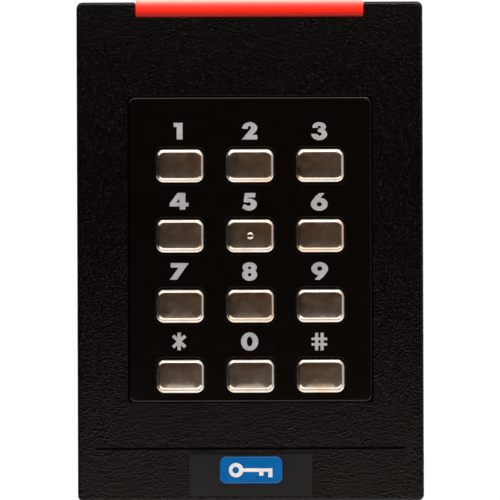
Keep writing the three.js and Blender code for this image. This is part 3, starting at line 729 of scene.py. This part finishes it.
def key_mark(middle, front):
    """A plain door-key silhouette: a ring, a shaft and two teeth."""
    bow_x, bow_radius, half = -3.6, 1.75, 0.42
    bow = arc(bow_x, 0, bow_radius, bow_radius, 346, 14, 40)
    teeth = [
        (5.2, -half), (5.2, -1.75), (4.2, -1.75), (4.2, -half),
        (3.0, -half), (3.0, -1.35), (2.0, -1.35), (2.0, -half),
    ]
    outline = [*bow, (5.2, half), *teeth]
    hole = circle(bow_x - 0.1, 0, 0.8, 28)
    placed = [[(middle.x + x, middle.z + z) for x, z in points] for points in (outline, hole)]
    mark = flat_solid("badge_key_mark", placed, front - PRINT["thick"], front - PRINT["lift"])
    finish_piece(mark, ROOT, "led_white", "mark")


front_cover()
light_bar()
badge()

# ---- keypad


def keypad_bezel():
    front = corners("keypad_bezel")[0].y
    plug = keypad_plug()
    plug_at = inset_rect(plug["width"], plug["height"], BEZEL["corner"], 0, plug["z"], 10)
    rear = corners("key_1")[1].y + BEZEL["behind_keys"]
    bezel = loft("bezel_frame", [*rounded_front(plug_at, front, BEZEL["edge"]), (plug_at(0), rear)])
    flange_front = corners("keypad_seal")[1].y + PLAY
    flange = node_rect("keypad_bezel", BEZEL["flange_corner"], steps=10)
    join(bezel, slab("flange", flange(0), flange_front, rear))
    for name in KEY_NAMES:
        hole = node_rect(f"key_{name}", KEY["corner"] + KEY["gap"], KEY["gap"] - KEY["lip"])
        cut(bezel, opening(hole, front, rear + PAST, BEZEL["key_edge"]))
    finish_piece(bezel, ROOT, "bezel_black", "bezel", "keypad_bezel")


def shoulder_profile(steps=6):
    """(distance out from the face's edge, fall below it) down a shoulder whose slope steepens."""
    outer = math.radians(KEY["outer_tilt"])
    edge = KEY["edge"]
    turn_start = KEY["shoulder"] - edge * (1 - math.sin(outer))
    knots = [(0, KEY["face_tilt"]), (KEY["blend"], KEY["inner_tilt"]), (turn_start, KEY["outer_tilt"])]
    points, fall = [(0.0, 0.0)], 0.0
    for (start, start_tilt), (end, end_tilt) in zip(knots, knots[1:]):
        for i in range(steps):
            tilt = start_tilt + (end_tilt - start_tilt) * (i + 0.5) / steps
            fall += (end - start) / steps * math.tan(math.radians(tilt))
            points.append((start + (end - start) * (i + 1) / steps, fall))
    for i in range(1, steps + 1):
        tilt = outer + (math.pi / 2 - outer) * i / steps
        out = turn_start + edge * (math.sin(tilt) - math.sin(outer))
        points.append((out, fall + edge * (math.cos(outer) - math.cos(tilt))))
    return points


def key_cap(name):
    """A metal cap: a slightly crowned face in a sloped shoulder that is widest at the bottom."""
    node = f"key_{name}"
    low, high = corners(node)
    middle, extent = centre(node), size(node)
    top = corners("key_1")[0].y
    shoulder, brow, chin = KEY["shoulder"], KEY["brow"], KEY["chin"]
    face_width = extent.x - 2 * KEY["lip"] - 2 * shoulder
    face_height = extent.z - 2 * KEY["lip"] - brow - chin
    lip_front = high.y - KEY["lip_thick"]

    def ring(out, depth, share=1.0):
        corner = KEY["face_corner"] + (KEY["corner"] - KEY["face_corner"]) * out / shoulder
        width = (face_width + 2 * out) * share
        height = (face_height + (brow + chin) * out / shoulder) * share
        z = middle.z + (chin - brow) / 2 * (1 - out / shoulder)
        return rounded_rect(width, height, corner * share, middle.x, z, 10), depth

    face = [ring(0, top + KEY["crown"] * share**3, share) for share in FACE_RINGS]
    slope = [ring(out, top + KEY["crown"] + fall) for out, fall in shoulder_profile()]
    cap = loft(f"{node}_cap", [*face, *slope, (slope[-1][0], lip_front - HAIR)])
    if name == DOTTED_KEY:
        join(cap, tactile_dot(middle, top, top - low.y))
    finish_piece(cap, f"button_{name}", "key_metal", "key", node)

    # The flange behind the cap is painted black as painted shade, so the gap round the cap looks dark.
    foot = slab(f"{node}_flange", node_rect(node, KEY["corner"])(0), lip_front, high.y)
    finish_piece(foot, f"button_{name}", "black_nylon", "nylon_and_gap_shade", node)


def tactile_dot(middle, top, height):
    radius, root = DOT["radius"], top + DOT["root"]
    rise = [(radius * math.sin(a), top - height * math.cos(a)) for a in quarter_turn(8)]
    return move(turned("dot", [*rise, (radius, root), (0, root)]), middle.x, 0, middle.z)


def keypad_mat():
    """A silicone sheet with a dome under each key."""
    low, high = corners("keypad_mat")
    sheet_front = high.y - MAT["sheet"]
    places = {name: centre(f"key_{name}") for name in KEY_NAMES}
    holes = [circle(place.x, place.z, DOME["base"], 32) for place in places.values()]
    holes += [circle(x, z, STAKE_HOLE_RADIUS, 20) for x, z in STAKE_HOLES]
    outline = node_rect("keypad_mat", MAT["corner"])(0)
    sheet = flat_solid("mat_sheet", [outline, *holes], sheet_front, high.y)
    finish_piece(sheet, ROOT, "grey_silicone", "silicone", "keypad_mat")
    shell = dome_profile(low.y, sheet_front, high.y)
    for name, place in places.items():
        dome = move(turned(f"mat_dome_{name}", shell), place.x, 0, place.z)
        finish_piece(dome, ROOT, "grey_silicone", "silicone", "keypad_mat")
        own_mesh(dome)


def dome_profile(crest, sheet_front, sheet_rear):
    """(radius, y) round a dome's wall: over its outside, then back up its hollow."""
    base, top, wall, round_edge = DOME["base"] - HAIR, DOME["top"], DOME["wall"], DOME["round"]
    flat = top - round_edge
    shoulder = [
        (flat + round_edge * math.sin(a), crest + round_edge * (1 - math.cos(a))) for a in quarter_turn(4)
    ]
    return [
        (0, crest), *shoulder, (base, sheet_front), (base, sheet_rear), (DOME["open"], sheet_rear),
        (DOME["open"] - 0.1, sheet_front + DOME["throat"]), (top - wall, crest + wall), (0, crest + wall),
    ]


keypad_bezel()
for key_name in KEY_NAMES:
    key_cap(key_name)
keypad_mat()

# ---- legends
# A sign's outlines are in cap heights, from the middle of its baseline.


def star_outline(half_width=0.10, slant=47):
    """Six arms that cross at the middle: one upright pair and two slanted pairs."""
    angles = [90 - slant, 90, 90 + slant, 270 - slant, 270, 270 + slant]
    reaches = [0.5, 0.53, 0.5, 0.5, 0.53, 0.5]
    points = []
    for angle, following, length in zip(angles, [*angles[1:], angles[0] + 360], reaches):
        here, there = math.radians(angle), math.radians(following)
        for side in (-half_width, half_width):
            x = length * math.cos(here) - side * math.sin(here)
            z = length * math.sin(here) + side * math.cos(here)
            points.append((x, 0.5 + z))
        middle, gap = (here + there) / 2, (there - here) / 2
        notch = half_width / math.sin(gap)
        points.append((notch * math.cos(middle), 0.5 + notch * math.sin(middle)))
    return [points]


def hash_outlines(bar=0.165, half=0.095, tall=0.53, wide=0.47, thin=0.08):
    """Two uprights and two level bars, with the square hole between them."""
    inner, outer = bar - half, bar + half
    right = [
        (inner, -tall), (outer, -tall), (outer, -bar - thin),
        (wide, -bar - thin), (wide, -bar + thin), (outer, -bar + thin),
    ]
    right_side = right + [(x, -z) for x, z in reversed(right)]
    left_side = [(-x, z) for x, z in reversed(right_side)]
    top_notch = [(inner, bar + thin), (-inner, bar + thin)]
    bottom_notch = [(-inner, -bar - thin), (inner, -bar - thin)]
    outline = right_side + top_notch + left_side + bottom_notch
    hole = [(-inner, -bar + thin), (inner, -bar + thin), (inner, bar - thin), (-inner, bar - thin)]
    return [[(x, z + 0.5) for x, z in points] for points in (outline, hole)]


def six_outlines():
    bowl = arc(-0.015, 0.33, 0.505, 0.395, 150, 430, 40)
    stem = [(0.06, 0.72), (0.30, 1.0), (-0.02, 1.0), (-0.25, 0.80)]
    return [bowl + stem, oval(-0.015, 0.325, 0.155, 0.135, 24)]


def half_turned(outlines):
    return [[(-x, 1 - z) for x, z in outline] for outline in outlines]


GLYPHS = {
    "1": [[(-0.36, 1.0), (0.19, 1.0), (0.19, 0.0), (-0.16, 0.0), (-0.16, 0.745), (-0.33, 0.745)]],
    "2": [[
        (-0.47, 0.0), (0.47, 0.0), (0.47, 0.27), (0.17, 0.27),
        *arc(0.015, 0.69, 0.45, 0.35, -40, 188, 30),
        (-0.10, 0.64),
        *arc(0.0, 0.71, 0.10, 0.11, 200, -35, 14),
    ]],
    "3": [[
        *arc(-0.02, 0.32, 0.475, 0.355, 177, 408, 32),
        *arc(-0.02, 0.78, 0.41, 0.265, -40, 196, 28),
        (-0.12, 0.71),
        *arc(-0.01, 0.755, 0.10, 0.075, 200, -60, 14),
        (-0.105, 0.62), (-0.105, 0.46),
        *arc(0.005, 0.335, 0.115, 0.11, 100, -160, 16),
        (-0.18, 0.345),
    ]],
    "4": [
        [(-0.58, 0.187), (0.02, 0.187), (0.02, 0.0), (0.37, 0.0), (0.37, 0.187), (0.55, 0.187),
         (0.55, 0.415), (0.37, 0.415), (0.37, 1.0), (-0.10, 1.0), (-0.58, 0.36)],
        [(0.01, 0.42), (0.01, 0.66), (-0.195, 0.42)],
    ],
    "5": [[
        (-0.28, 1.0), (-0.35, 0.46), (-0.20, 0.43),
        *arc(-0.055, 0.335, 0.15, 0.115, 135, -150, 18),
        (-0.345, 0.31), (-0.45, 0.065),
        *arc(-0.03, 0.34, 0.48, 0.40, -140, 0, 20),
        *arc(-0.03, 0.34, 0.48, 0.325, 6, 102, 14),
        (-0.085, 0.73), (0.35, 0.73), (0.37, 1.0),
    ]],
    "6": six_outlines(),
    "7": [[(-0.52, 1.0), (-0.52, 0.73), (-0.03, 0.73), (-0.57, 0.0), (-0.13, 0.0), (0.57, 1.0)]],
    "8": [
        arc(0.015, 0.30, 0.455, 0.365, 133, 407, 34) + arc(0.015, 0.745, 0.43, 0.305, -38, 218, 32),
        oval(0.015, 0.715, 0.10, 0.09, 20),
        oval(0.015, 0.30, 0.115, 0.10, 20),
    ],
    "9": half_turned(six_outlines()),
    "star": star_outline(),
    "0": [oval(0.02, 0.5, 0.52, 0.55, 44), oval(0.02, 0.5, 0.175, 0.30, 32)],
    "hash": hash_outlines(),
}


def legend(name):
    """The printed sign above a key, a hair proud of the bezel. The print is turned a little on it."""
    middle, bezel = centre(f"key_{name}"), centre("keypad_bezel")
    face = corners("keypad_bezel")[0].y
    base = middle.z + LEGEND["rise"] - LEGEND["height"] / 2
    slip = math.radians(LEGEND["turn"])

    def placed(point):
        x = middle.x + LEGEND["shift"] + LEGEND["height"] * point[0]
        z = base + LEGEND["height"] * point[1]
        return x - slip * (z - bezel.z), z + slip * x

    outlines = [[placed(point) for point in outline] for outline in GLYPHS[name]]
    sign = flat_solid(f"legend_{name}", outlines, face - PRINT["thick"], face - PRINT["lift"])
    sign.data.materials.append(PAINTS["legend"])
    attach(sign, ROOT)


for key_name in KEY_NAMES:
    legend(key_name)

# ---- electronics

TERMINALS = {
    "ways": 10, "pitch": 3.81, "edge": 0.3,
    "port_width": 2.6, "port_y": (-8.6, -5.7), "port_depth": 5,
    "screw_drop": 0.4,  # how far the screws sit below the middle
    "well": 1.35, "well_depth": 1.2,
    "split": (0.3, 0.4),  # width and depth of the grooves between the ways
    "cage_gap": 0.1, "cage_wall": 0.25, "cage_depths": (0.7, 4.8), "cage_floor": 4.5,
}
LEAD = {"width": 0.28, "thick": 0.14, "reach": 0.95, "knee": (0.26, 0.36), "skew": 0.09, "margin": 0.5}
WINDINGS = {"turns": 4, "band": 2.0, "gap": 0.12, "corner": 3}


def terminal_block():
    low, high = corners("terminal_block")
    ways, pitch = TERMINALS["ways"], TERMINALS["pitch"]
    xs = [(i - (ways - 1) / 2) * pitch for i in range(ways)]
    body = soft_block("terminal_body", (low.x, high.x), (low.y, high.y), (low.z, high.z), TERMINALS["edge"])
    half, well = TERMINALS["port_width"] / 2, TERMINALS["well"]
    screw_z = (low.z + high.z) / 2 - TERMINALS["screw_drop"]
    well_floor, outside = high.y - TERMINALS["well_depth"], high.y + PAST
    port_z = (low.z - PAST, low.z + TERMINALS["port_depth"])
    for x in xs:
        port = block("cutter", span(x, half), TERMINALS["port_y"], port_z)
        bore = turned("cutter", pillar(well, well_floor, outside), 24)
        cut(body, port, move(bore, x, 0, screw_z))
    width, depth = TERMINALS["split"]
    for left, right in zip(xs, xs[1:]):
        split_x, split_y = span((left + right) / 2, width / 2), (high.y - depth, outside)
        cut(body, block("cutter", split_x, split_y, (low.z - PAST, high.z + PAST)))
    finish_piece(body, ROOT, "terminal_green", "terminal", "terminal_block")
    screws = gather("terminal_screws", [terminal_screw(x, screw_z, well_floor) for x in xs])
    finish_piece(screws, ROOT, "screw_steel", "steel")
    cages = gather("terminal_cages", [terminal_cage(x, half, low.z) for x in xs])
    finish_piece(cages, ROOT, "tinned_can", "tin")


def terminal_screw(x, z, well_floor):
    """A slotted screw head that stands on its well's floor, each turned to another angle."""
    gap, sunk, rim, slot_depth, slot_half = 0.15, 0.25, 0.2, 0.5, 0.2
    radius = TERMINALS["well"] - gap
    base, top = well_floor + HAIR, well_floor + TERMINALS["well_depth"] - sunk
    profile = [(0, base), (radius, base), (radius, top - rim), (radius - rim, top), (0, top)]
    slot_y = (top - slot_depth, top + PAST)
    slot_cutter = block("cutter", span(0, radius + PAST), slot_y, span(0, slot_half))
    head = cut(turned("screw", profile, 24), slot_cutter)
    return move(turn(head, 35 + 23 * x, "Y"), x, 0, z)


def terminal_cage(x, half, bottom):
    """The metal clamp frame inside a wire port."""
    front, rear = TERMINALS["port_y"]
    gap, (near, far) = TERMINALS["cage_gap"], TERMINALS["cage_depths"]
    inner = gap + TERMINALS["cage_wall"]
    cage = block("cage", span(x, half - gap), (front + gap, rear - gap), (bottom + near, bottom + far))
    hollow_z = (bottom - PAST, bottom + TERMINALS["cage_floor"])
    return cut(cage, block("cutter", span(x, half - inner), (front + inner, rear - inner), hollow_z))


def antenna_windings():
    """Flat copper turns side by side in the coil's band."""
    low, high = corners("antenna_coil")
    step, gap = WINDINGS["band"] / WINDINGS["turns"], WINDINGS["gap"]
    coil = node_rect("antenna_coil", WINDINGS["corner"])
    outlines = []
    for i in range(WINDINGS["turns"]):
        outlines += [coil(i * step + gap / 2), coil((i + 1) * step - gap / 2)]
    windings = flat_solid("antenna_windings", outlines, low.y, high.y)
    finish_piece(windings, ROOT, "coil_copper", "copper", "antenna_coil")


def chip_leads(node, per_side, sides=4):
    """Bent legs round a chip, from its side walls to the board."""
    low, high = corners(node)
    middle, extent = centre(node), size(node)
    profile = lead_profile((low.y + high.y) / 2, high.y)
    half = LEAD["width"] / 2
    legs = []
    for side in range(sides):
        quarter = side if sides == 4 else 2 * side
        along, reach = (extent.z, extent.x) if quarter % 2 == 0 else (extent.x, extent.z)
        for i in range(per_side):
            offset = ((i + 0.5) / per_side - 0.5) * (along - 2 * LEAD["margin"])
            ends = [(reach / 2 + out, y, offset + across) for across in (-half, half) for out, y in profile]
            leg = mesh_piece("leg", ends, prism_faces(len(profile)))
            legs.append(move(turn(leg, quarter * 90, "Y"), middle.x, 0, middle.z))
    finish_piece(gather(f"{node}_leads", legs), ROOT, "tinned_can", "tin")


def lead_profile(waist, board):
    """(distance from the chip, y) round a leg: out, down to the board and out again."""
    thick, reach = LEAD["thick"], LEAD["reach"]
    bend, foot = LEAD["knee"]
    outer_bend, outer_foot = bend + LEAD["skew"], foot + LEAD["skew"]
    return [
        (0, waist - thick / 2), (outer_bend, waist - thick / 2),
        (outer_foot, board - thick), (reach, board - thick),
        (reach, board), (foot, board),
        (bend, waist + thick / 2), (0, waist + thick / 2),
    ]


def prism_faces(count):
    """Faces of a prism whose first `count` vertices are one end and the rest the other."""
    sides = [(i, (i + 1) % count, count + (i + 1) % count, count + i) for i in range(count)]
    return [tuple(range(count)), tuple(range(count, 2 * count)), *sides]


terminal_block()
antenna_windings()
chip_leads("microcontroller", 10)
chip_leads("rf_reader_chip", 7)
chip_leads("secure_element", 4, 2)

# ---- mounting

PLATE = {
    "thick": 3, "corner": 1.5, "edge": 0.4, "hole_edge": 0.25,
    "margin": 2.6,  # of wall gasket above and below it
    "openings": [(44, -34, -5), (44, 8, 32)],  # width, bottom, top
    "opening_corner": 3,
    "slot": (4.2, 9),  # width, length
    "slot_z": 41.65, "slot_x": 30,
    "hole": (32, 50, 2),  # x, z, radius
}
CORE = {"x": 30.5, "width": 9, "height": 8, "depth": 0.8, "corner": 0.8, "zs": (15, 25.5, 36)}
LUG = {"half_width": 5, "top": -50, "foot": 0.1, "edge": 0.25, "bore": 2.25, "bore_depths": (51.7, 60)}
GASKET = {"corner": 1.6, "edge": 0.2, "inner_corner": 1.5, "inner_edge": 0.15, "gap": 0.4}
SCREW = {
    "point": 1.1, "crest": 1.6, "root": 1.3, "pitch": 0.5, "threads": 10,
    "plain": 0.8,  # length without a thread at the point
    "head": 3.4,
    "rim": (0.15, 0.2),  # width and height of the bevel round the head
    "socket": 1.6, "socket_depth": 1.0, "pin": 0.55, "pin_rim": 0.15,
}


def mounting_plate():
    low, high = corners("mounting_plate")
    gasket_low, gasket_high = corners("wall_gasket")
    front, wall = high.y - PLATE["thick"], high.y
    top, bottom = gasket_high.z - PLATE["margin"], gasket_low.z + PLATE["margin"]
    outline = inset_rect(high.x - low.x, top - bottom, PLATE["corner"])
    plate = loft("plate_panel", plate_rings(outline, front, wall, PLATE["edge"]))
    hook_front = low.y + HOOK["front"]
    tip_y = (hook_front, hook_front + HOOK["tip_thick"])
    for side in (-1, 1):
        x = span(side * HOOK["x"], HOOK["half_width"])
        join(plate, soft_block("hook", x, (hook_front, front + PAST), HOOK["arm_z"], HOOK["arm_edge"]))
        join(plate, soft_block("hook_tip", x, tip_y, (HOOK["tip_bottom"], high.z), HOOK["tip_edge"]))
    lug_z = (bottom - LUG["foot"], LUG["top"])
    join(plate, soft_block("lug", span(0, LUG["half_width"]), (low.y, front + PAST), lug_z, LUG["edge"]))
    bore = turned_down("cutter", pillar(LUG["bore"], *LUG["bore_depths"]), SECURITY["y"])
    cut(plate, bore, *plate_holes(front, wall), *plate_cores(wall))
    finish_piece(plate, ROOT, "plate_black", "plate", "mounting_plate")


def plate_holes(front, rear):
    """Cutters for the two large openings, the four slots and the four round holes."""
    width, length = PLATE["slot"]
    end = width / 2 - FULL_ROUND
    hole_x, hole_z, radius = PLATE["hole"]
    corner = radius - FULL_ROUND
    outlines = []
    for opening_width, bottom, top in PLATE["openings"]:
        middle = (top + bottom) / 2
        outlines.append(inset_rect(opening_width, top - bottom, PLATE["opening_corner"], 0, middle))
    for side in (-1, 1):
        outlines.append(inset_rect(length, width, end, 0, side * PLATE["slot_z"], 10))
        outlines.append(inset_rect(width, length, end, side * PLATE["slot_x"], 0, 10))
        for other in (-1, 1):
            x, z = side * hole_x, other * hole_z
            outlines.append(inset_rect(2 * radius, 2 * radius, corner, x, z, 10))
    return [through(outline, front, rear, PLATE["hole_edge"]) for outline in outlines]


def plate_cores(rear):
    """Shallow pockets in the wall side of the plate, with ribs left between them."""
    width, height, corner = CORE["width"], CORE["height"], CORE["corner"]
    for side_x in (-1, 1):
        for side_z in (-1, 1):
            for z in CORE["zs"]:
                pocket = rounded_rect(width, height, corner, side_x * CORE["x"], side_z * z, 5)
                yield slab("cutter", pocket, rear - CORE["depth"], rear + PAST)


def security_screw():
    """Countersunk tamper-proof screw: a hexagon socket with a pin in its middle."""
    low, high = corners("security_screw")
    face, end, y = -low.z, -high.z, SECURITY["y"]
    threads = []
    for i in range(SCREW["threads"]):
        depth = end + SCREW["plain"] + i * SCREW["pitch"]
        threads += [(SCREW["crest"], depth), (SCREW["root"], depth + SCREW["pitch"] / 2)]
    head, (rim_width, rim_height) = SCREW["head"], SCREW["rim"]
    profile = [
        (0, end), (SCREW["point"], end), *threads, (SCREW["crest"], SECURITY["neck"]),
        (head, face - rim_height), (head - rim_width, face), (0, face),
    ]
    body = turned_down("security_screw_body", profile, y, 36)
    core, wall, set_back = 0.5, SCREW["socket"], 0.1
    inside, outside = face - SCREW["socket_depth"], face + PAST
    ring = [(core, inside), (wall, inside), (wall, outside), (core, outside), (core, inside)]
    socket = turned_down("cutter", ring, y, 6)
    pin, rim = SCREW["pin"], SCREW["pin_rim"]
    root, top = inside - set_back, face - set_back
    stud = [(0, root), (pin, root), (pin, top - rim), (pin - rim, top), (0, top)]
    join(cut(body, socket), turned_down("pin", stud, y, 20))
    finish_piece(body, ROOT, "screw_steel", "steel", "security_screw")


def wall_gasket():
    low, high = corners("wall_gasket")
    extent, plate, gap = size("wall_gasket"), size("mounting_plate"), GASKET["gap"]
    outer = node_rect("wall_gasket", GASKET["corner"])
    ring = loft("gasket_ring", plate_rings(outer, low.y, high.y, GASKET["edge"]))
    inner_height = extent.z - 2 * PLATE["margin"] + 2 * gap
    inner = inset_rect(plate.x + 2 * gap, inner_height, GASKET["inner_corner"])
    cut(ring, through(inner, low.y, high.y, GASKET["inner_edge"]))
    finish_piece(ring, ROOT, "black_foam", "foam", "wall_gasket")


mounting_plate()
security_screw()
wall_gasket()

# ---- CAD nodes that stay

BOARD_SCREWS = ["top_left", "top_right", "bottom_left", "bottom_right"]
KEPT = {  # node: (paint, width of its rounded edges)
    "nameplate": ("nameplate", 0.05),
    "keypad_seal": ("foam", 0.05),
    "keypad_board": ("board", 0.1),
    "main_board": ("board", 0.1),
    "board_connector_socket": ("nylon_and_gap_shade", 0.15),
    "board_connector_plug": ("nylon_and_gap_shade", 0.15),
    "microcontroller": ("chip", 0.12),
    "rf_reader_chip": ("chip", 0.12),
    "secure_element": ("chip", 0.12),
    "voltage_regulator": ("chip", 0.15),
    "power_inductor": ("chip", 0.4),
    "buzzer": ("chip", 0.1),
    "tamper_sensor": ("chip", 0.15),
    "crystal": ("tin", 0.3),
    "input_capacitor": ("tin", 0.1),
    "output_capacitor": ("tin", 0.1),
    "potting_compound": ("potting", 0.3),
    "threaded_insert": ("brass", 0.1),
    **{f"status_led_{i}": ("led", 0.15) for i in range(1, 5)},
    **{f"board_screw_{place}": ("steel", 0.12) for place in BOARD_SCREWS},
    **{f"contact_pill_{name}": ("carbon", 0.05) for name in KEY_NAMES},
}


def dress_node(node, paint, edge):
    """Gives a CAD node its finish and small rounds on its edges, by modifiers alone."""
    piece = frame["nodes"][node]
    flat = piece.modifiers.new("merge flat faces", "DECIMATE")
    flat.decimate_type = "DISSOLVE"
    flat.angle_limit = math.radians(1)
    bevel(piece, edge, 2).harden_normals = True
    piece.data.materials.clear()
    piece.data.materials.append(PAINTS[paint])


for node_name, (paint_name, edge_width) in KEPT.items():
    dress_node(node_name, paint_name, edge_width)

# ---- stage, lights and camera

FLOOR = {"z": -0.8, "half_width": 8.0, "front": -0.5, "rear": 9.0}
WARM_WHITE = (1, 0.95, 0.88)
CAMERA = {"lens": 250, "view_width": 121.24, "x": -0.05, "z": 0.39, "roll": 0.2}
ROOM = (0.080, 0.042, 0.022)  # what the dark, warm room shows in the keys' faces
ROOM_LOW = (0.084, 0.070, 0.056)  # and what its greyer lower part shows
ROOM_FADE = (-0.30, 0.06, 0.15, 1.0)  # directions from left to right, and the room's brightness there
ROOM_HORIZON = (-0.08, -0.01, 0, 1)  # directions over which the lower part gives way to the rest
PAPER = 1.05  # brightness of the white that the camera sees behind the reader


def floor():
    x, front, rear, z = FLOOR["half_width"], FLOOR["front"], FLOOR["rear"], FLOOR["z"]
    mesh = bpy.data.meshes.new("floor")
    mesh.from_pydata([(-x, front, z), (x, front, z), (x, rear, z), (-x, rear, z)], [], [(0, 1, 2, 3)])
    plane = new_piece("floor", mesh)
    painted_highlight_and_shade = (1, 0.99, 0.97, 1)
    paint = Paint("floor_paint", (0.86, 0.86, 0.86), 0.8, Emission_Color=painted_highlight_and_shade, Emission_Strength=0.9)
    paint.tint(paint.remap(paint.noise(600), 0.3, 0.7, 0, 1), (0.84, 0.84, 0.84))
    mesh.materials.append(paint.material)


def softbox(name, place, target, extent, radiance, colour=(1, 1, 1)):
    """A rectangular light, in metres, aimed at a point. Its surface shows `radiance`."""
    data = bpy.data.lights.new(name, "AREA")
    data.shape = "RECTANGLE"
    data.size, data.size_y = extent
    data.color = colour
    data.energy = radiance * math.pi * extent[0] * extent[1]
    lamp = new_piece(name, data)
    lamp.location = place
    lamp.rotation_euler = (Vector(target) - Vector(place)).to_track_quat("-Z", "Y").to_euler()
    lamp.visible_camera = False


def world():
    """White to the camera, and a dim warm room, darker to the left, to everything else."""
    made = bpy.data.worlds.new("studio")
    bpy.context.scene.world = made
    made.use_nodes = True
    tree = made.node_tree
    tree.nodes.clear()
    new, link = tree.nodes.new, tree.links.new
    direction = new("ShaderNodeTexCoord")
    split = new("ShaderNodeSeparateXYZ")
    link(direction.outputs["Generated"], split.inputs[0])
    hue = new("ShaderNodeMix")
    hue.data_type = "RGBA"
    hue.inputs[6].default_value = (*ROOM_LOW, 1)
    hue.inputs[7].default_value = (*ROOM, 1)
    link(map_range(tree, split.outputs["Z"], ROOM_HORIZON), hue.inputs[0])
    room = new("ShaderNodeBackground")
    link(hue.outputs[2], room.inputs["Color"])
    link(map_range(tree, split.outputs["X"], ROOM_FADE), room.inputs["Strength"])
    paper = new("ShaderNodeBackground")
    paper.inputs["Color"].default_value = (1, 1, 1, 1)
    paper.inputs["Strength"].default_value = PAPER
    path = new("ShaderNodeLightPath")
    mix = new("ShaderNodeMixShader")
    link(path.outputs["Is Camera Ray"], mix.inputs["Fac"])
    link(room.outputs[0], mix.inputs[1])
    link(paper.outputs[0], mix.inputs[2])
    link(mix.outputs[0], new("ShaderNodeOutputWorld").inputs["Surface"])


def camera():
    data = bpy.data.cameras.new("camera")
    data.lens = CAMERA["lens"]
    data.sensor_width = 36
    data.clip_end = 50
    distance = CAMERA["view_width"] * data.lens / data.sensor_width
    eye = new_piece("camera", data)
    eye.location = Vector((CAMERA["x"], corners("front_cover")[0].y - distance, CAMERA["z"])) * MM
    eye.rotation_euler = (math.radians(90), math.radians(CAMERA["roll"]), 0)
    bpy.context.scene.camera = eye


floor()
softbox("top_softbox", (0, -0.16, 0.20), (0, -0.03, 0.01), (0.7, 0.2), 1.6, WARM_WHITE)
softbox("overhead", (0.03, -0.10, 0.60), (0, -0.03, 0.0), (0.8, 0.45), 3.0, (1, 0.91, 0.80))
softbox("spark", (0.06, -0.13, 0.17), (0, -0.03, 0.04), (0.03, 0.03), 36, WARM_WHITE)
softbox("upper_left", (-0.22, -0.22, 0.17), (0, -0.03, 0), (0.2, 0.2), 0.22, WARM_WHITE)
softbox("lower_left", (-0.20, -0.20, -0.18), (0, -0.03, 0), (0.2, 0.2), 0.16, (1, 0.93, 0.88))
softbox("right_softbox", (0.34, -0.13, -0.03), (0, -0.03, 0), (0.2, 0.7), 0.8, (1, 0.93, 0.90))
softbox("bottom_softbox", (0.03, -0.13, -0.24), (0, -0.03, -0.01), (0.7, 0.2), 0.60, (1, 0.93, 0.88))
softbox("low_card", (0.02, -0.25, -0.155), (0.02, 0, -0.155), (0.5, 0.11), 2.4, (1, 0.90, 0.81))
softbox("rear_left", (-0.6, 0.8, 0.5), (0, 0, 0), (0.7, 0.7), 2.2)
softbox("rear_right", (0.7, 0.7, 0.1), (0, 0, 0), (0.5, 0.9), 1.6)
world()
camera()
bpy.context.scene.view_settings.view_transform = "Standard"
